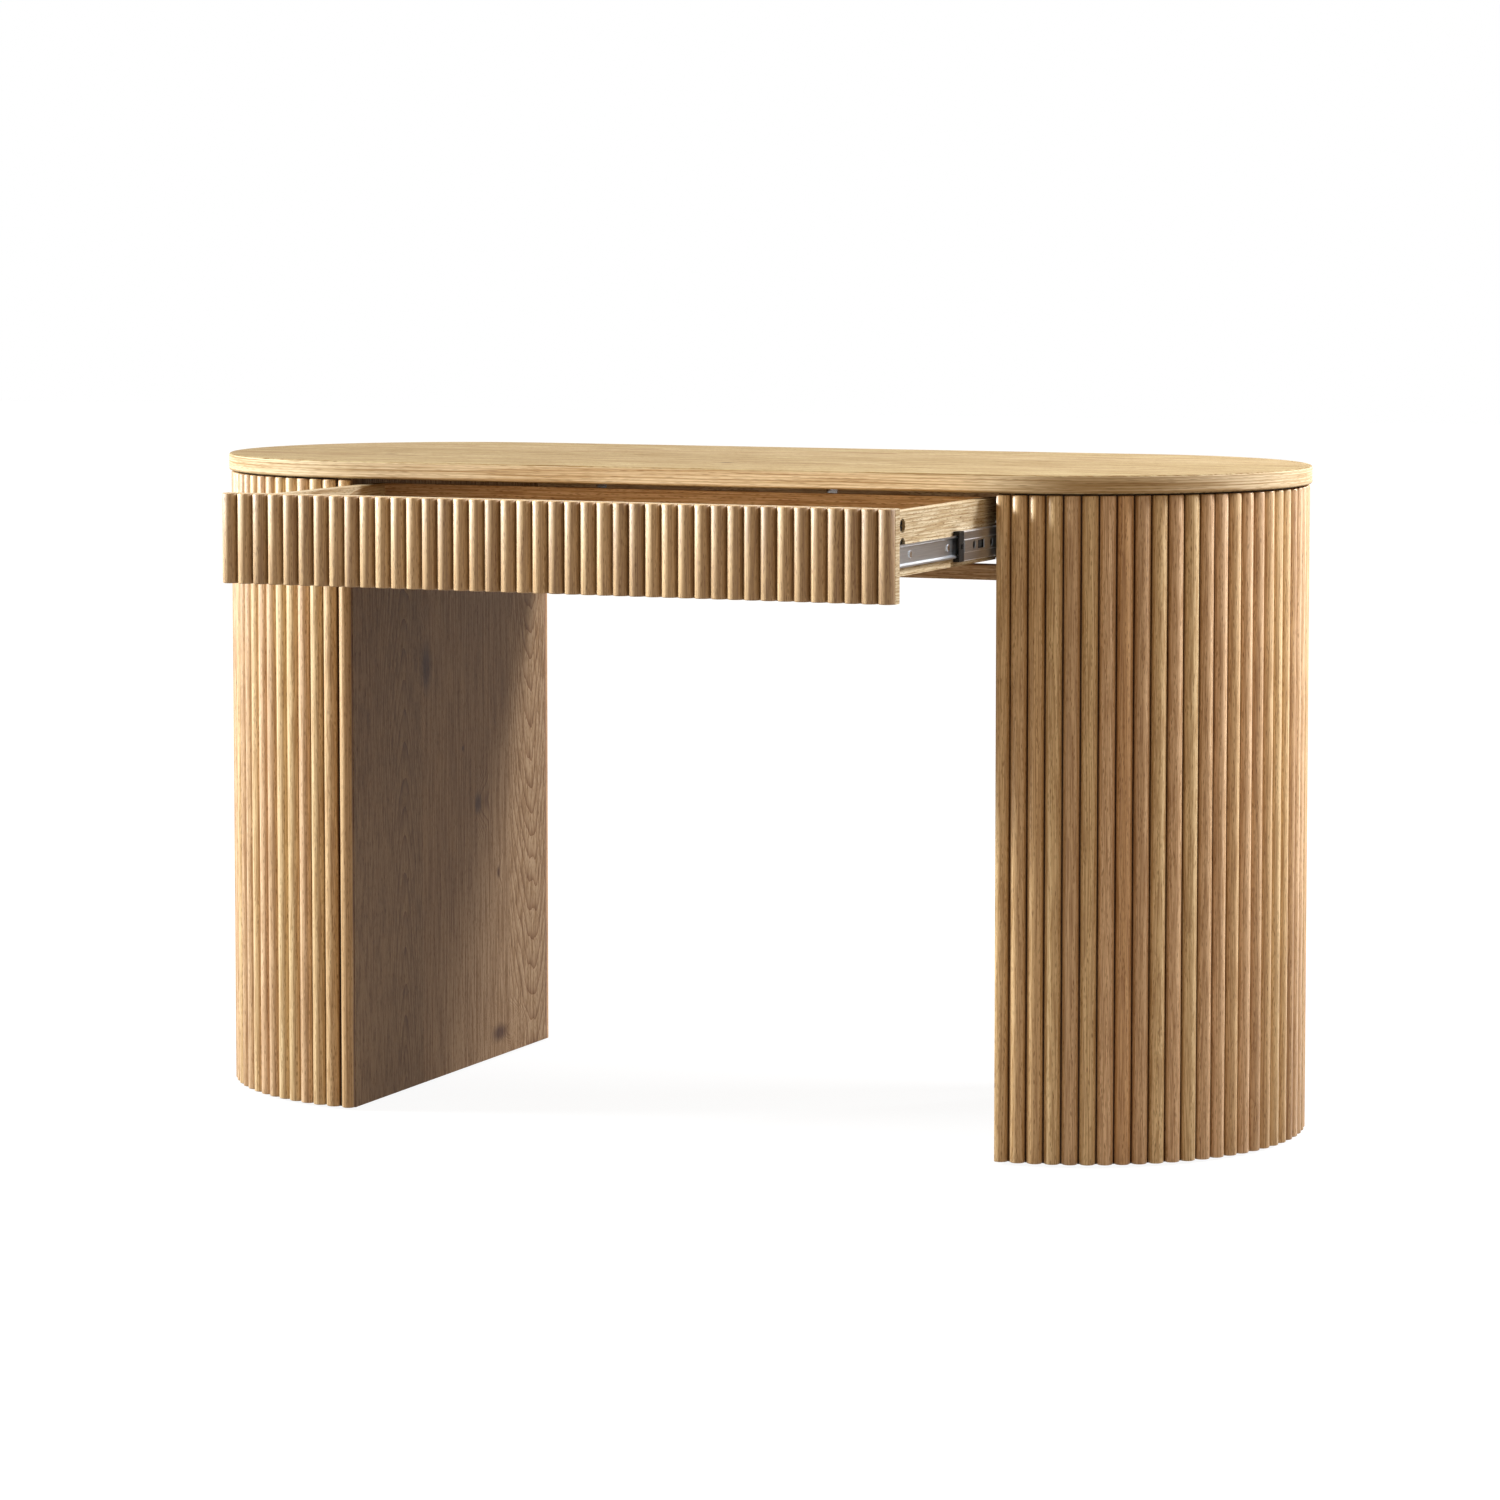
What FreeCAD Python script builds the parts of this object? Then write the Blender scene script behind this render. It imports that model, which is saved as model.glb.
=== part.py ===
import FreeCAD, Part
import os
import re

import Sketcher

# Oval writing desk on two reeded half-round pedestals, with one wide drawer on ball-bearing slides.
# +X is to the sitter's right, +Y to the back, +Z up. The drawer is modelled pulled out by DRAWER_PULL.
# The origin lies on the floor under the middle of the opened desk.

# Driving dimensions, in millimetres unless the name ends in share
SIZES = {
    # oval top
    "top_length": "1320",
    "top_width": "530",
    "top_thickness": "20",
    "top_edge_round": "2.5",
    "top_overhang": "2.5",
    "desk_height": "753",
    # reeded cladding
    "slat_width": "18.2",
    "slat_pitch": "19",
    "corner_slat_share": "0.76",
    "slat_top_gap": "2",
    "slat_end_round": "1.2",
    "drawer_slat_pitch": "18.7",
    # pedestal carcass
    "panel_thickness": "18",
    "backing_thickness": "5",
    "former_thickness": "18",
    "glue_gap": "0.2",
    "glide_height": "3",
    "glide_diameter": "24",
    "glide_edge": "0.8",
    "station_near": "48",
    "station_near_spread": "165",
    "station_far": "185",
    "station_far_spread": "75",
    # dowels, cams and screws
    "bore_clearance": "0.2",
    "bore_end_gap": "0.5",
    "cut_overrun": "5",
    "dowel_diameter": "8",
    "dowel_length": "30",
    "dowel_seat": "10",
    "former_dowel_spread": "170",
    "apron_dowel_edge": "25",
    "cam_diameter": "15",
    "cam_length": "9.5",
    "cam_bore_depth": "12.5",
    "cam_slot_width": "2",
    "cam_slot_depth": "2.5",
    "cam_setback": "35",
    "cam_dowel_diameter": "6",
    "cam_dowel_seat": "10",
    "screw_diameter": "4",
    "screw_head_diameter": "8",
    "screw_head_height": "2.5",
    "screw_bite": "12",
    # rails between the pedestals
    "apron_thickness": "18",
    "apron_height": "100",
    "apron_cam_drop": "30",
    "apron_cam_setback": "87",
    "rail_thickness": "16",
    "rail_depth": "26",
    "rail_gap": "1.4",
    "rail_clearance": "6",
    # drawer
    "drawer_reveal": "2",
    "front_height": "98",
    "front_board_thickness": "12",
    "side_lift": "26",
    "side_height": "67",
    "side_overhang": "26.6",
    "side_thickness": "15",
    "back_thickness": "13",
    "back_dowel_length": "24",
    "back_dowel_edge": "20",
    "back_dowel_top": "10",
    "bottom_thickness": "5",
    "bottom_lift": "8",
    "bottom_groove": "6",
    "upper_cam_lift": "52",
    "lower_cam_lift": "32",
    # ball-bearing slides
    "slide_thickness": "12.7",
    "slide_length": "300",
    "slide_travel_share": "1",
    "slide_setback": "3.4",
    "slide_lift": "21.5",
    "slide_sheet": "1.2",
    "slide_bend": "1.5",
    "cabinet_member_height": "42",
    "cabinet_member_depth": "9.6",
    "cabinet_member_lip": "1",
    "middle_member_height": "32",
    "middle_member_depth": "7",
    "middle_member_stand": "4.8",
    "middle_setback_share": "0.137",
    "middle_member_end": "2",
    "middle_rib_height": "14.6",
    "middle_rib_rise": "0.8",
    "drawer_member_height": "24",
    "drawer_member_depth": "5",
    "ball_track_radius": "5.9",
    "ball_track_inset": "0.35",
    "retainer_web": "0.8",
    "retainer_play": "0.2",
    "retainer_stand": "0.6",
    "outer_retainer_share": "0.43",
    "outer_setback_share": "0.26",
    "inner_retainer_share": "0.29",
    "inner_setback_share": "0.455",
    "web_hole_diameter": "9",
    "web_hole_first": "29",
    "web_hole_second": "82",
    "web_slot_place": "50",
    "web_slot_length": "20",
    "slide_stop_height": "32.5",
    "slide_stop_length": "14",
    "slide_stop_tongue": "14",
    "slide_stop_play": "0.5",
    "slide_stop_window": "5",
    "slide_screw_diameter": "3.5",
    "slide_screw_head_diameter": "7",
    "slide_screw_head_height": "1",
    "slide_screw_length": "13",
    "cabinet_screw_front": "30",
    "cabinet_screw_rear": "78",
    "drawer_screw_front": "50",
    "drawer_screw_rear": "30",
}

doc = FreeCAD.newDocument("reeded_desk")
sheet = doc.addObject("Spreadsheet::Sheet", "Sizes")
for row, (alias, number) in enumerate(SIZES.items(), start=1):
    sheet.set(f"A{row}", alias)
    sheet.set(f"B{row}", number)
    sheet.setAlias(f"B{row}", alias)
doc.recompute()

# Places worked out from the sizes, with the middle of the oval at x = y = 0 and the drawer shut
END = "((top_length - top_width) / 2)"
BASE = "(top_width / 2 - top_overhang - slat_width / 2)"
UNDERSIDE = "(desk_height - top_thickness)"
PEDESTAL_HEIGHT = f"({UNDERSIDE} - glide_height)"
PANEL_EDGE = f"sqrt({BASE} ^ 2 - panel_thickness ^ 2)"
BACKING_INSIDE = f"({BASE} - backing_thickness)"
BACKING_EDGE = f"sqrt({BACKING_INSIDE} ^ 2 - panel_thickness ^ 2)"
FORMER_RADIUS = f"({BACKING_INSIDE} - glue_gap)"
FORMER_EDGE = f"sqrt({FORMER_RADIUS} ^ 2 - panel_thickness ^ 2)"
FULL_SLATS = f"floor(pi * {BASE} / slat_pitch)"
SLAT_ANGLE = f"(180 / ({FULL_SLATS} + corner_slat_share))"
FRONT_WIDTH = f"(2 * {END} - 2 * drawer_reveal)"
FRONT_BOTTOM = f"({UNDERSIDE} - drawer_reveal - front_height)"
BOARD_BACK = f"(front_board_thickness - {BASE})"
SIDE_BOTTOM = f"({FRONT_BOTTOM} + side_lift)"
SIDE_FACE = f"({END} - slide_thickness)"
SIDE_MIDDLE = f"({SIDE_FACE} - side_thickness / 2)"
SIDE_LENGTH = "(slide_setback + slide_length + side_overhang)"
SLIDE_AXIS = f"({SIDE_BOTTOM} + slide_lift)"
SLIDE_FRONT = f"({BOARD_BACK} + slide_setback)"
RAIL_TOP = f"({SIDE_BOTTOM} - rail_clearance)"
RAIL_FRONT = f"({BOARD_BACK} + rail_gap)"

# The opened desk is centred by moving the oval back, the drawer less and the middle slide members half way
DRAWER_PULL = "(slide_length * slide_travel_share)"
SHIFT = f"(({DRAWER_PULL} - top_overhang) / 2)"
DRAWER_SHIFT = f"({SHIFT} - {DRAWER_PULL})"
MIDDLE_SHIFT = f"({SHIFT} - {DRAWER_PULL} / 2)"
OUTER_RETAINER_SHIFT = f"({SHIFT} - {DRAWER_PULL} / 4)"
INNER_RETAINER_SHIFT = f"({SHIFT} - {DRAWER_PULL} * 3 / 4)"

# Bores that several pieces share
DOWEL_BORE = "(dowel_diameter + bore_clearance)"
CAM_BORE = "(cam_diameter + bore_clearance)"
CAM_DOWEL_BORE = "(cam_dowel_diameter + bore_clearance)"
SCREW_BORE = "(screw_diameter + bore_clearance)"
SLIDE_SCREW_BORE = "(slide_screw_diameter + bore_clearance)"
DOWEL_TAIL = "(dowel_length - dowel_seat)"
CAM_DOWEL_REACH = f"(cam_setback - {CAM_BORE} / 2)"
APRON_DOWEL_REACH = f"(apron_cam_drop - {CAM_BORE} / 2)"

# Screws along each end member of a slide
SLIDE_SCREWS = 3

# Edges count as lying at a place within this distance
PLACE_TOLERANCE = 1e-6
X_AXIS = 0
Y_AXIS = 1
UP = FreeCAD.Vector(0, 0, 1)
BACKWARD = FreeCAD.Vector(0, 1, 0)
nodes = []


def sized(text):
    """Point every size named in an expression at its cell of the sheet."""
    return re.sub(r"[a-z_]+", lambda word: f"Sizes.{word[0]}" if word[0] in SIZES else word[0], text)


def value(text):
    """Work out an expression of sizes as a number."""
    result = sheet.evalExpression(sized(text))
    return getattr(result, "Value", result)


def piece(label, x, y, z, axis=UP, turn=0):
    """Start a sub-part whose origin lies at x, y, z, turned about axis by whole half turns."""
    body = doc.addObject("PartDesign::Body", label)
    body.Label = label
    body.Placement = FreeCAD.Placement(FreeCAD.Vector(), FreeCAD.Rotation(axis, turn))
    for name, text in zip("xyz", (x, y, z)):
        body.setExpression(f"Placement.Base.{name}", sized(text))
    nodes.append(body)
    return body


def new_sketch(body, name, plane, lift):
    """Lay an empty sketch on one of the body's own planes, lifted along the plane's normal."""
    sketch = body.newObject("Sketcher::SketchObject", name)
    support = next(item for item in body.Origin.OriginFeatures if item.Role == plane)
    sketch.AttachmentSupport = [(support, "")]
    sketch.MapMode = "FlatFace"
    sketch.setExpression("AttachmentOffset.Base.z", sized(lift))
    return sketch


def pin(sketch, geometry, point, axis, text):
    """Tie one coordinate of a point to an expression of sizes."""
    if text == "0":
        line = -2 if axis == X_AXIS else -1
        sketch.addConstraint(Sketcher.Constraint("PointOnObject", geometry, point, line))
        return
    kind = "DistanceX" if axis == X_AXIS else "DistanceY"
    index = sketch.addConstraint(Sketcher.Constraint(kind, -1, 1, geometry, point, value(text)))
    sketch.setExpression(f"Constraints[{index}]", sized(text))


def outline(body, name, plane, lift, corners):
    """Closed profile through corners (x, y). A corner that also has a centre x, centre y and turn starts
    an arc, which turns left for +1."""
    sketch = new_sketch(body, name, plane, lift)
    points = [FreeCAD.Vector(value(corner[0]), value(corner[1]), 0) for corner in corners]
    ends = []
    for index, corner in enumerate(corners):
        start, finish = points[index], points[(index + 1) % len(points)]
        if len(corner) == 2:
            geometry = sketch.addGeometry(Part.LineSegment(start, finish))
            ends.append((geometry, 1, 2))
            continue
        centre = FreeCAD.Vector(value(corner[2]), value(corner[3]), 0)
        turn = corner[4]
        first, last = (start, finish) if turn > 0 else (finish, start)
        circle = Part.Circle(centre, UP, centre.distanceToPoint(start))
        arc = Part.ArcOfCircle(circle, circle.parameter(first), circle.parameter(last))
        geometry = sketch.addGeometry(arc)
        ends.append((geometry, 1, 2) if turn > 0 else (geometry, 2, 1))
        chord = finish - start
        axis = X_AXIS if abs(chord.y) > abs(chord.x) else Y_AXIS
        pin(sketch, geometry, 3, axis, corner[2 + axis])
    for index, corner in enumerate(corners):
        geometry, start, finish = ends[index]
        following, following_start, _ = ends[(index + 1) % len(ends)]
        sketch.addConstraint(Sketcher.Constraint("Coincident", geometry, finish, following, following_start))
        pin(sketch, geometry, start, X_AXIS, corner[0])
        pin(sketch, geometry, start, Y_AXIS, corner[1])
    return sketch


def rectangle(body, name, plane, lift, left, low, right, high):
    return outline(body, name, plane, lift, [(left, low), (right, low), (right, high), (left, high)])


def circles(body, name, plane, lift, places, diameter):
    """Equal circles about the given places."""
    sketch = new_sketch(body, name, plane, lift)
    for x, y in places:
        centre = FreeCAD.Vector(value(x), value(y), 0)
        geometry = sketch.addGeometry(Part.Circle(centre, UP, value(diameter) / 2))
        pin(sketch, geometry, 3, X_AXIS, x)
        pin(sketch, geometry, 3, Y_AXIS, y)
        index = sketch.addConstraint(Sketcher.Constraint("Diameter", geometry, value(diameter)))
        sketch.setExpression(f"Constraints[{index}]", sized(diameter))
    return sketch


def pad(body, profile, length, against=False):
    """Raise a profile along its plane's normal, or against it."""
    feature = body.newObject("PartDesign::Pad", "Pad")
    feature.Profile = profile
    feature.setExpression("Length", sized(length))
    feature.Reversed = against
    doc.recompute()
    return feature


def pocket(body, profile, depth, along=False):
    """Cut a profile against its plane's normal, or along it, and make sure that it takes something away."""
    before = body.Shape.Volume
    feature = body.newObject("PartDesign::Pocket", "Pocket")
    feature.Profile = profile
    feature.setExpression("Length", sized(depth))
    feature.Reversed = along
    doc.recompute()
    if not body.Shape.Volume < before:
        raise ValueError(f"{body.Label}: {profile.Name} cuts nothing")
    return feature


def dress(body, kind, size_name, size, chosen):
    """Round or chamfer the edges that chosen picks from the body as it stands."""
    base = body.Tip
    names = [f"Edge{index}" for index, edge in enumerate(base.Shape.Edges, start=1) if chosen(edge)]
    feature = body.newObject(f"PartDesign::{kind}", kind)
    feature.Base = (base, names)
    feature.setExpression(size_name, sized(size))
    doc.recompute()
    return feature


def repeat(body, kind, direction, axis, **settings):
    """Copy the whole body along or about one of its axes."""
    feature = body.newObject(f"PartDesign::{kind}", kind)
    line = next(item for item in body.Origin.OriginFeatures if item.Role == axis)
    setattr(feature, direction, (line, [""]))
    feature.TransformMode = "Whole shape"
    feature.Mode = "Spacing"
    for name, text in settings.items():
        feature.setExpression(name, sized(text))
    body.Tip = feature
    doc.recompute()
    return feature


def lies_level(height):
    """Pick the edges that lie flat at a height of the body's own frame."""

    def level(edge):
        box = edge.BoundBox
        return max(abs(box.ZMin - height), abs(box.ZMax - height)) < PLACE_TOLERANCE

    return level


def is_round(edge):
    return edge.Curve.TypeId == "Part::GeomCircle"


def stations(hand):
    """Plan places under the top, in the pedestal's own frame, of the top screws and the glides."""
    spreads = (("station_near", "station_near_spread"), ("station_far", "station_far_spread"))
    return [(f"{hand} * {x}", f"{sign} * {y}") for x, y in spreads for sign in (-1, 1)]


# Oval top with softened edges, pilot bores for the top screws and the apron's cam dowels
def desktop():
    body = piece("desktop", "0", SHIFT, UNDERSIDE)
    half = "top_width / 2"
    oval = outline(body, "Oval", "XY_Plane", "0", [
        (f"-{END}", f"-{half}"),
        (END, f"-{half}", END, "0", 1),
        (END, half),
        (f"-{END}", half, f"-{END}", "0", 1),
    ])
    pad(body, oval, "top_thickness")
    rims = (lies_level(0), lies_level(value("top_thickness")))
    dress(body, "Fillet", "Radius", "top_edge_round", lambda edge: any(rim(edge) for rim in rims))
    screws = [(f"{hand} * {END} + {x}", y) for hand in (1, -1) for x, y in stations(hand)]
    screw_bores = circles(body, "ScrewBores", "XY_Plane", "0", screws, SCREW_BORE)
    pocket(body, screw_bores, "screw_bite + bore_end_gap", along=True)
    dowels = [(x, f"{BASE} - apron_thickness / 2") for x in apron_cam_places()]
    dowel_bores = circles(body, "DowelBores", "XY_Plane", "0", dowels, CAM_DOWEL_BORE)
    pocket(body, dowel_bores, "cam_dowel_seat + bore_end_gap", along=True)


def former_dowel_places():
    heights = ("former_thickness / 2", f"{PEDESTAL_HEIGHT} - former_thickness / 2")
    spreads = ("-former_dowel_spread", "0", "former_dowel_spread")
    return [(y, z) for y in spreads for z in heights]


def apron_dowel_heights():
    """Heights of the apron's dowels above its lower edge."""
    return ("apron_dowel_edge", "apron_height - apron_dowel_edge")


def apron_cam_places():
    outermost = f"({END} - apron_cam_setback)"
    return (f"-{outermost}", "0", outermost)


def slide_screw_places(front, rear):
    """Even distances from the front end of a slide, which leave these lengths free at its ends."""
    spacing = f"(slide_length - {front} - {rear}) / {SLIDE_SCREWS - 1}"
    return [f"({front} + {index} * {spacing})" for index in range(SLIDE_SCREWS)]


def cabinet_screw_places():
    return slide_screw_places("cabinet_screw_front", "cabinet_screw_rear")


def drawer_screw_places():
    return slide_screw_places("drawer_screw_front", "drawer_screw_rear")


# Half-round pedestal in a frame whose x runs from the inner panel's face to the round end. The two pedestals
# are one unit, turned by half a turn: hand is +1 on the right, -1 on the left.
def pedestal(side, hand):
    turn = 0 if hand > 0 else 180
    place = (f"{hand} * {END}", SHIFT, "glide_height")

    panel = piece(f"{side}_inner_panel", *place, turn=turn)
    plan = outline(panel, "Plan", "XY_Plane", "0", [
        ("0", f"-{BASE}", "0", "0", 1),
        ("panel_thickness", f"-{PANEL_EDGE}"),
        ("panel_thickness", PANEL_EDGE, "0", "0", 1),
        ("0", BASE),
    ])
    pad(panel, plan, PEDESTAL_HEIGHT)
    dowel_places = former_dowel_places()
    dowel_bores = circles(panel, "FormerDowels", "YZ_Plane", "panel_thickness", dowel_places, DOWEL_BORE)
    pocket(panel, dowel_bores, "dowel_seat + bore_end_gap")
    apron_middle = f"{hand} * ({BASE} - apron_thickness / 2)"
    apron_low = f"{PEDESTAL_HEIGHT} - apron_height"
    knee_places = [(apron_middle, f"{apron_low} + {height}") for height in apron_dowel_heights()]
    rail_height = f"{RAIL_TOP} - rail_thickness / 2 - glide_height"
    knee_places.append((f"{hand} * ({RAIL_FRONT} + rail_depth / 2)", rail_height))
    knee_bores = circles(panel, "KneeDowels", "YZ_Plane", "0", knee_places, DOWEL_BORE)
    pocket(panel, knee_bores, "dowel_seat + bore_end_gap", along=True)
    axis_height = f"{SLIDE_AXIS} - glide_height"
    screws = [(f"{hand} * ({SLIDE_FRONT} + {place})", axis_height) for place in cabinet_screw_places()]
    screw_bores = circles(panel, "SlideScrews", "YZ_Plane", "0", screws, SLIDE_SCREW_BORE)
    pocket(panel, screw_bores, "slide_screw_length + bore_end_gap", along=True)

    backing = piece(f"{side}_curved_backing", *place, turn=turn)
    bend = outline(backing, "Bend", "XY_Plane", "0", [
        ("panel_thickness", f"-{PANEL_EDGE}", "0", "0", 1),
        ("panel_thickness", PANEL_EDGE),
        ("panel_thickness", BACKING_EDGE, "0", "0", -1),
        ("panel_thickness", f"-{BACKING_EDGE}"),
    ])
    pad(backing, bend, PEDESTAL_HEIGHT)

    levels = {"bottom": "glide_height", "top": f"{UNDERSIDE} - former_thickness"}
    for level, height in levels.items():
        former = piece(f"{side}_{level}_former", place[0], place[1], height, turn=turn)
        half_round = outline(former, "HalfRound", "XY_Plane", "0", [
            ("panel_thickness", f"-{FORMER_EDGE}", "0", "0", 1),
            ("panel_thickness", FORMER_EDGE),
        ])
        pad(former, half_round, "former_thickness")
        edge = [(y, "former_thickness / 2") for y in ("-former_dowel_spread", "0", "former_dowel_spread")]
        edge_bores = circles(former, "Dowels", "YZ_Plane", "panel_thickness", edge, DOWEL_BORE)
        pocket(former, edge_bores, f"{DOWEL_TAIL} + bore_end_gap", along=True)
        if level == "top":
            screw_holes = circles(former, "Screws", "XY_Plane", "0", stations(1), SCREW_BORE)
            pocket(former, screw_holes, "former_thickness", along=True)

    dowels = piece(f"{side}_former_dowels", *place, turn=turn)
    seat = "panel_thickness - dowel_seat"
    pins = circles(dowels, "Pins", "YZ_Plane", seat, dowel_places, "dowel_diameter")
    pad(dowels, pins, "dowel_length")

    screws = piece(f"{side}_top_screws", place[0], place[1], f"{UNDERSIDE} - former_thickness", turn=turn)
    shanks = circles(screws, "Shanks", "XY_Plane", "0", stations(1), "screw_diameter")
    pad(screws, shanks, "former_thickness + screw_bite")
    heads = circles(screws, "Heads", "XY_Plane", "0", stations(1), "screw_head_diameter")
    pad(screws, heads, "screw_head_height", against=True)

    glides = piece(f"{side}_glides", place[0], place[1], "0", turn=turn)
    discs = circles(glides, "Discs", "XY_Plane", "0", stations(1), "glide_diameter")
    pad(glides, discs, "glide_height")
    dress(glides, "Chamfer", "Size", "glide_edge", lies_level(0))

    reeds(side, turn, place)


# Reeded cladding of one pedestal: half-round slats, a whole one at one corner and a ripped one at the other
def reeds(side, turn, place):
    slats = piece(f"{side}_slats", *place, turn=turn)
    height = f"({PEDESTAL_HEIGHT} - slat_top_gap)"
    section = outline(slats, "HalfRound", "XY_Plane", "0", [
        ("slat_width / 2", BASE, "0", BASE, 1),
        ("-slat_width / 2", BASE),
    ])
    section.setExpression("AttachmentOffset.Rotation.Angle", sized(f"-{SLAT_ANGLE} / 2"))
    pad(slats, section, height)
    top = lies_level(value(height))
    dress(slats, "Chamfer", "Size", "slat_end_round", lambda edge: top(edge) and is_round(edge))
    ring = repeat(slats, "PolarPattern", "Axis", "Z_Axis", Occurrences=f"{FULL_SLATS} + 1", Offset=SLAT_ANGLE)
    ring.Reversed = True
    doc.recompute()
    low = f"-({BASE} + slat_width)"
    high = f"-{BASE} + cut_overrun"
    rip = rectangle(slats, "Rip", "XY_Plane", "-cut_overrun", "-slat_width", low, "0", high)
    pocket(slats, rip, f"{height} + 2 * cut_overrun", along=True)


# Rails between the pedestals: a deep apron under the top at the back, a thin rail under the drawer in front
def rails():
    apron = piece("back_apron", "0", f"{BASE} - apron_thickness + {SHIFT}", f"{UNDERSIDE} - apron_height")
    plan = rectangle(apron, "Plan", "XY_Plane", "0", f"-{END}", "0", END, "apron_thickness")
    pad(apron, plan, "apron_height")
    ends = [("apron_thickness / 2", height) for height in apron_dowel_heights()]
    end_bores(apron, ends)
    cam_height = "apron_height - apron_cam_drop"
    cams = [(x, cam_height) for x in apron_cam_places()]
    cam_bores = circles(apron, "CamBores", "XZ_Plane", "0", cams, CAM_BORE)
    pocket(apron, cam_bores, "cam_bore_depth")
    tops = [(x, "apron_thickness / 2") for x in apron_cam_places()]
    top_bores = circles(apron, "CamDowels", "XY_Plane", "apron_height", tops, CAM_DOWEL_BORE)
    pocket(apron, top_bores, "apron_cam_drop")

    rail = piece("front_rail", "0", f"{RAIL_FRONT} + {SHIFT}", f"{RAIL_TOP} - rail_thickness")
    plan = rectangle(rail, "Plan", "XY_Plane", "0", f"-{END}", "0", END, "rail_depth")
    pad(rail, plan, "rail_thickness")
    end_bores(rail, [("rail_depth / 2", "rail_thickness / 2")])

    knee_dowels("apron_dowels", apron, ends)
    knee_dowels("rail_dowels", rail, [("rail_depth / 2", "rail_thickness / 2")])

    cam_discs("apron_cams", apron, cams)
    bolts = piece("apron_cam_dowels", "0", f"{BASE} - apron_thickness + {SHIFT}", UNDERSIDE)
    bolt_plan = circles(bolts, "Bolts", "XY_Plane", "cam_dowel_seat", tops, "cam_dowel_diameter")
    pad(bolts, bolt_plan, f"cam_dowel_seat + {APRON_DOWEL_REACH}", against=True)


def end_bores(rail, places):
    """Dowel bores in both ends of a rail."""
    right = circles(rail, "RightEnd", "YZ_Plane", END, places, DOWEL_BORE)
    pocket(rail, right, f"{DOWEL_TAIL} + bore_end_gap")
    left = circles(rail, "LeftEnd", "YZ_Plane", f"-{END}", places, DOWEL_BORE)
    pocket(rail, left, f"{DOWEL_TAIL} + bore_end_gap", along=True)


def knee_dowels(label, rail, places):
    """Dowels from both ends of a rail into the inner panels, in the rail's own frame."""
    dowels = piece(label, "0", "0", "0")
    for name in "xyz":
        dowels.setExpression(f"Placement.Base.{name}", f"{rail.Name}.Placement.Base.{name}")
    right = circles(dowels, "Right", "YZ_Plane", f"{END} + dowel_seat", places, "dowel_diameter")
    pad(dowels, right, "dowel_length", against=True)
    left = circles(dowels, "Left", "YZ_Plane", f"-{END} - dowel_seat", places, "dowel_diameter")
    pad(dowels, left, "dowel_length")


def cam_discs(label, board, places):
    """Cam locks sunk in the bores of a board's front face, with a driver slot across each face."""
    cams = piece(label, "0", "0", "0")
    for name in "xyz":
        cams.setExpression(f"Placement.Base.{name}", f"{board.Name}.Placement.Base.{name}")
    sunk = "(cam_bore_depth - cam_length)"
    discs = circles(cams, "Discs", "XZ_Plane", f"-{sunk}", places, "cam_diameter")
    pad(cams, discs, "cam_length", against=True)
    for x, z in places:
        reach = "cam_diameter"
        slot = rectangle(cams, "Slot", "XZ_Plane", f"-{sunk}", f"{x} - {reach}", f"{z} - cam_slot_width / 2",
                         f"{x} + {reach}", f"{z} + cam_slot_width / 2")
        pocket(cams, slot, "cam_slot_depth")


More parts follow.
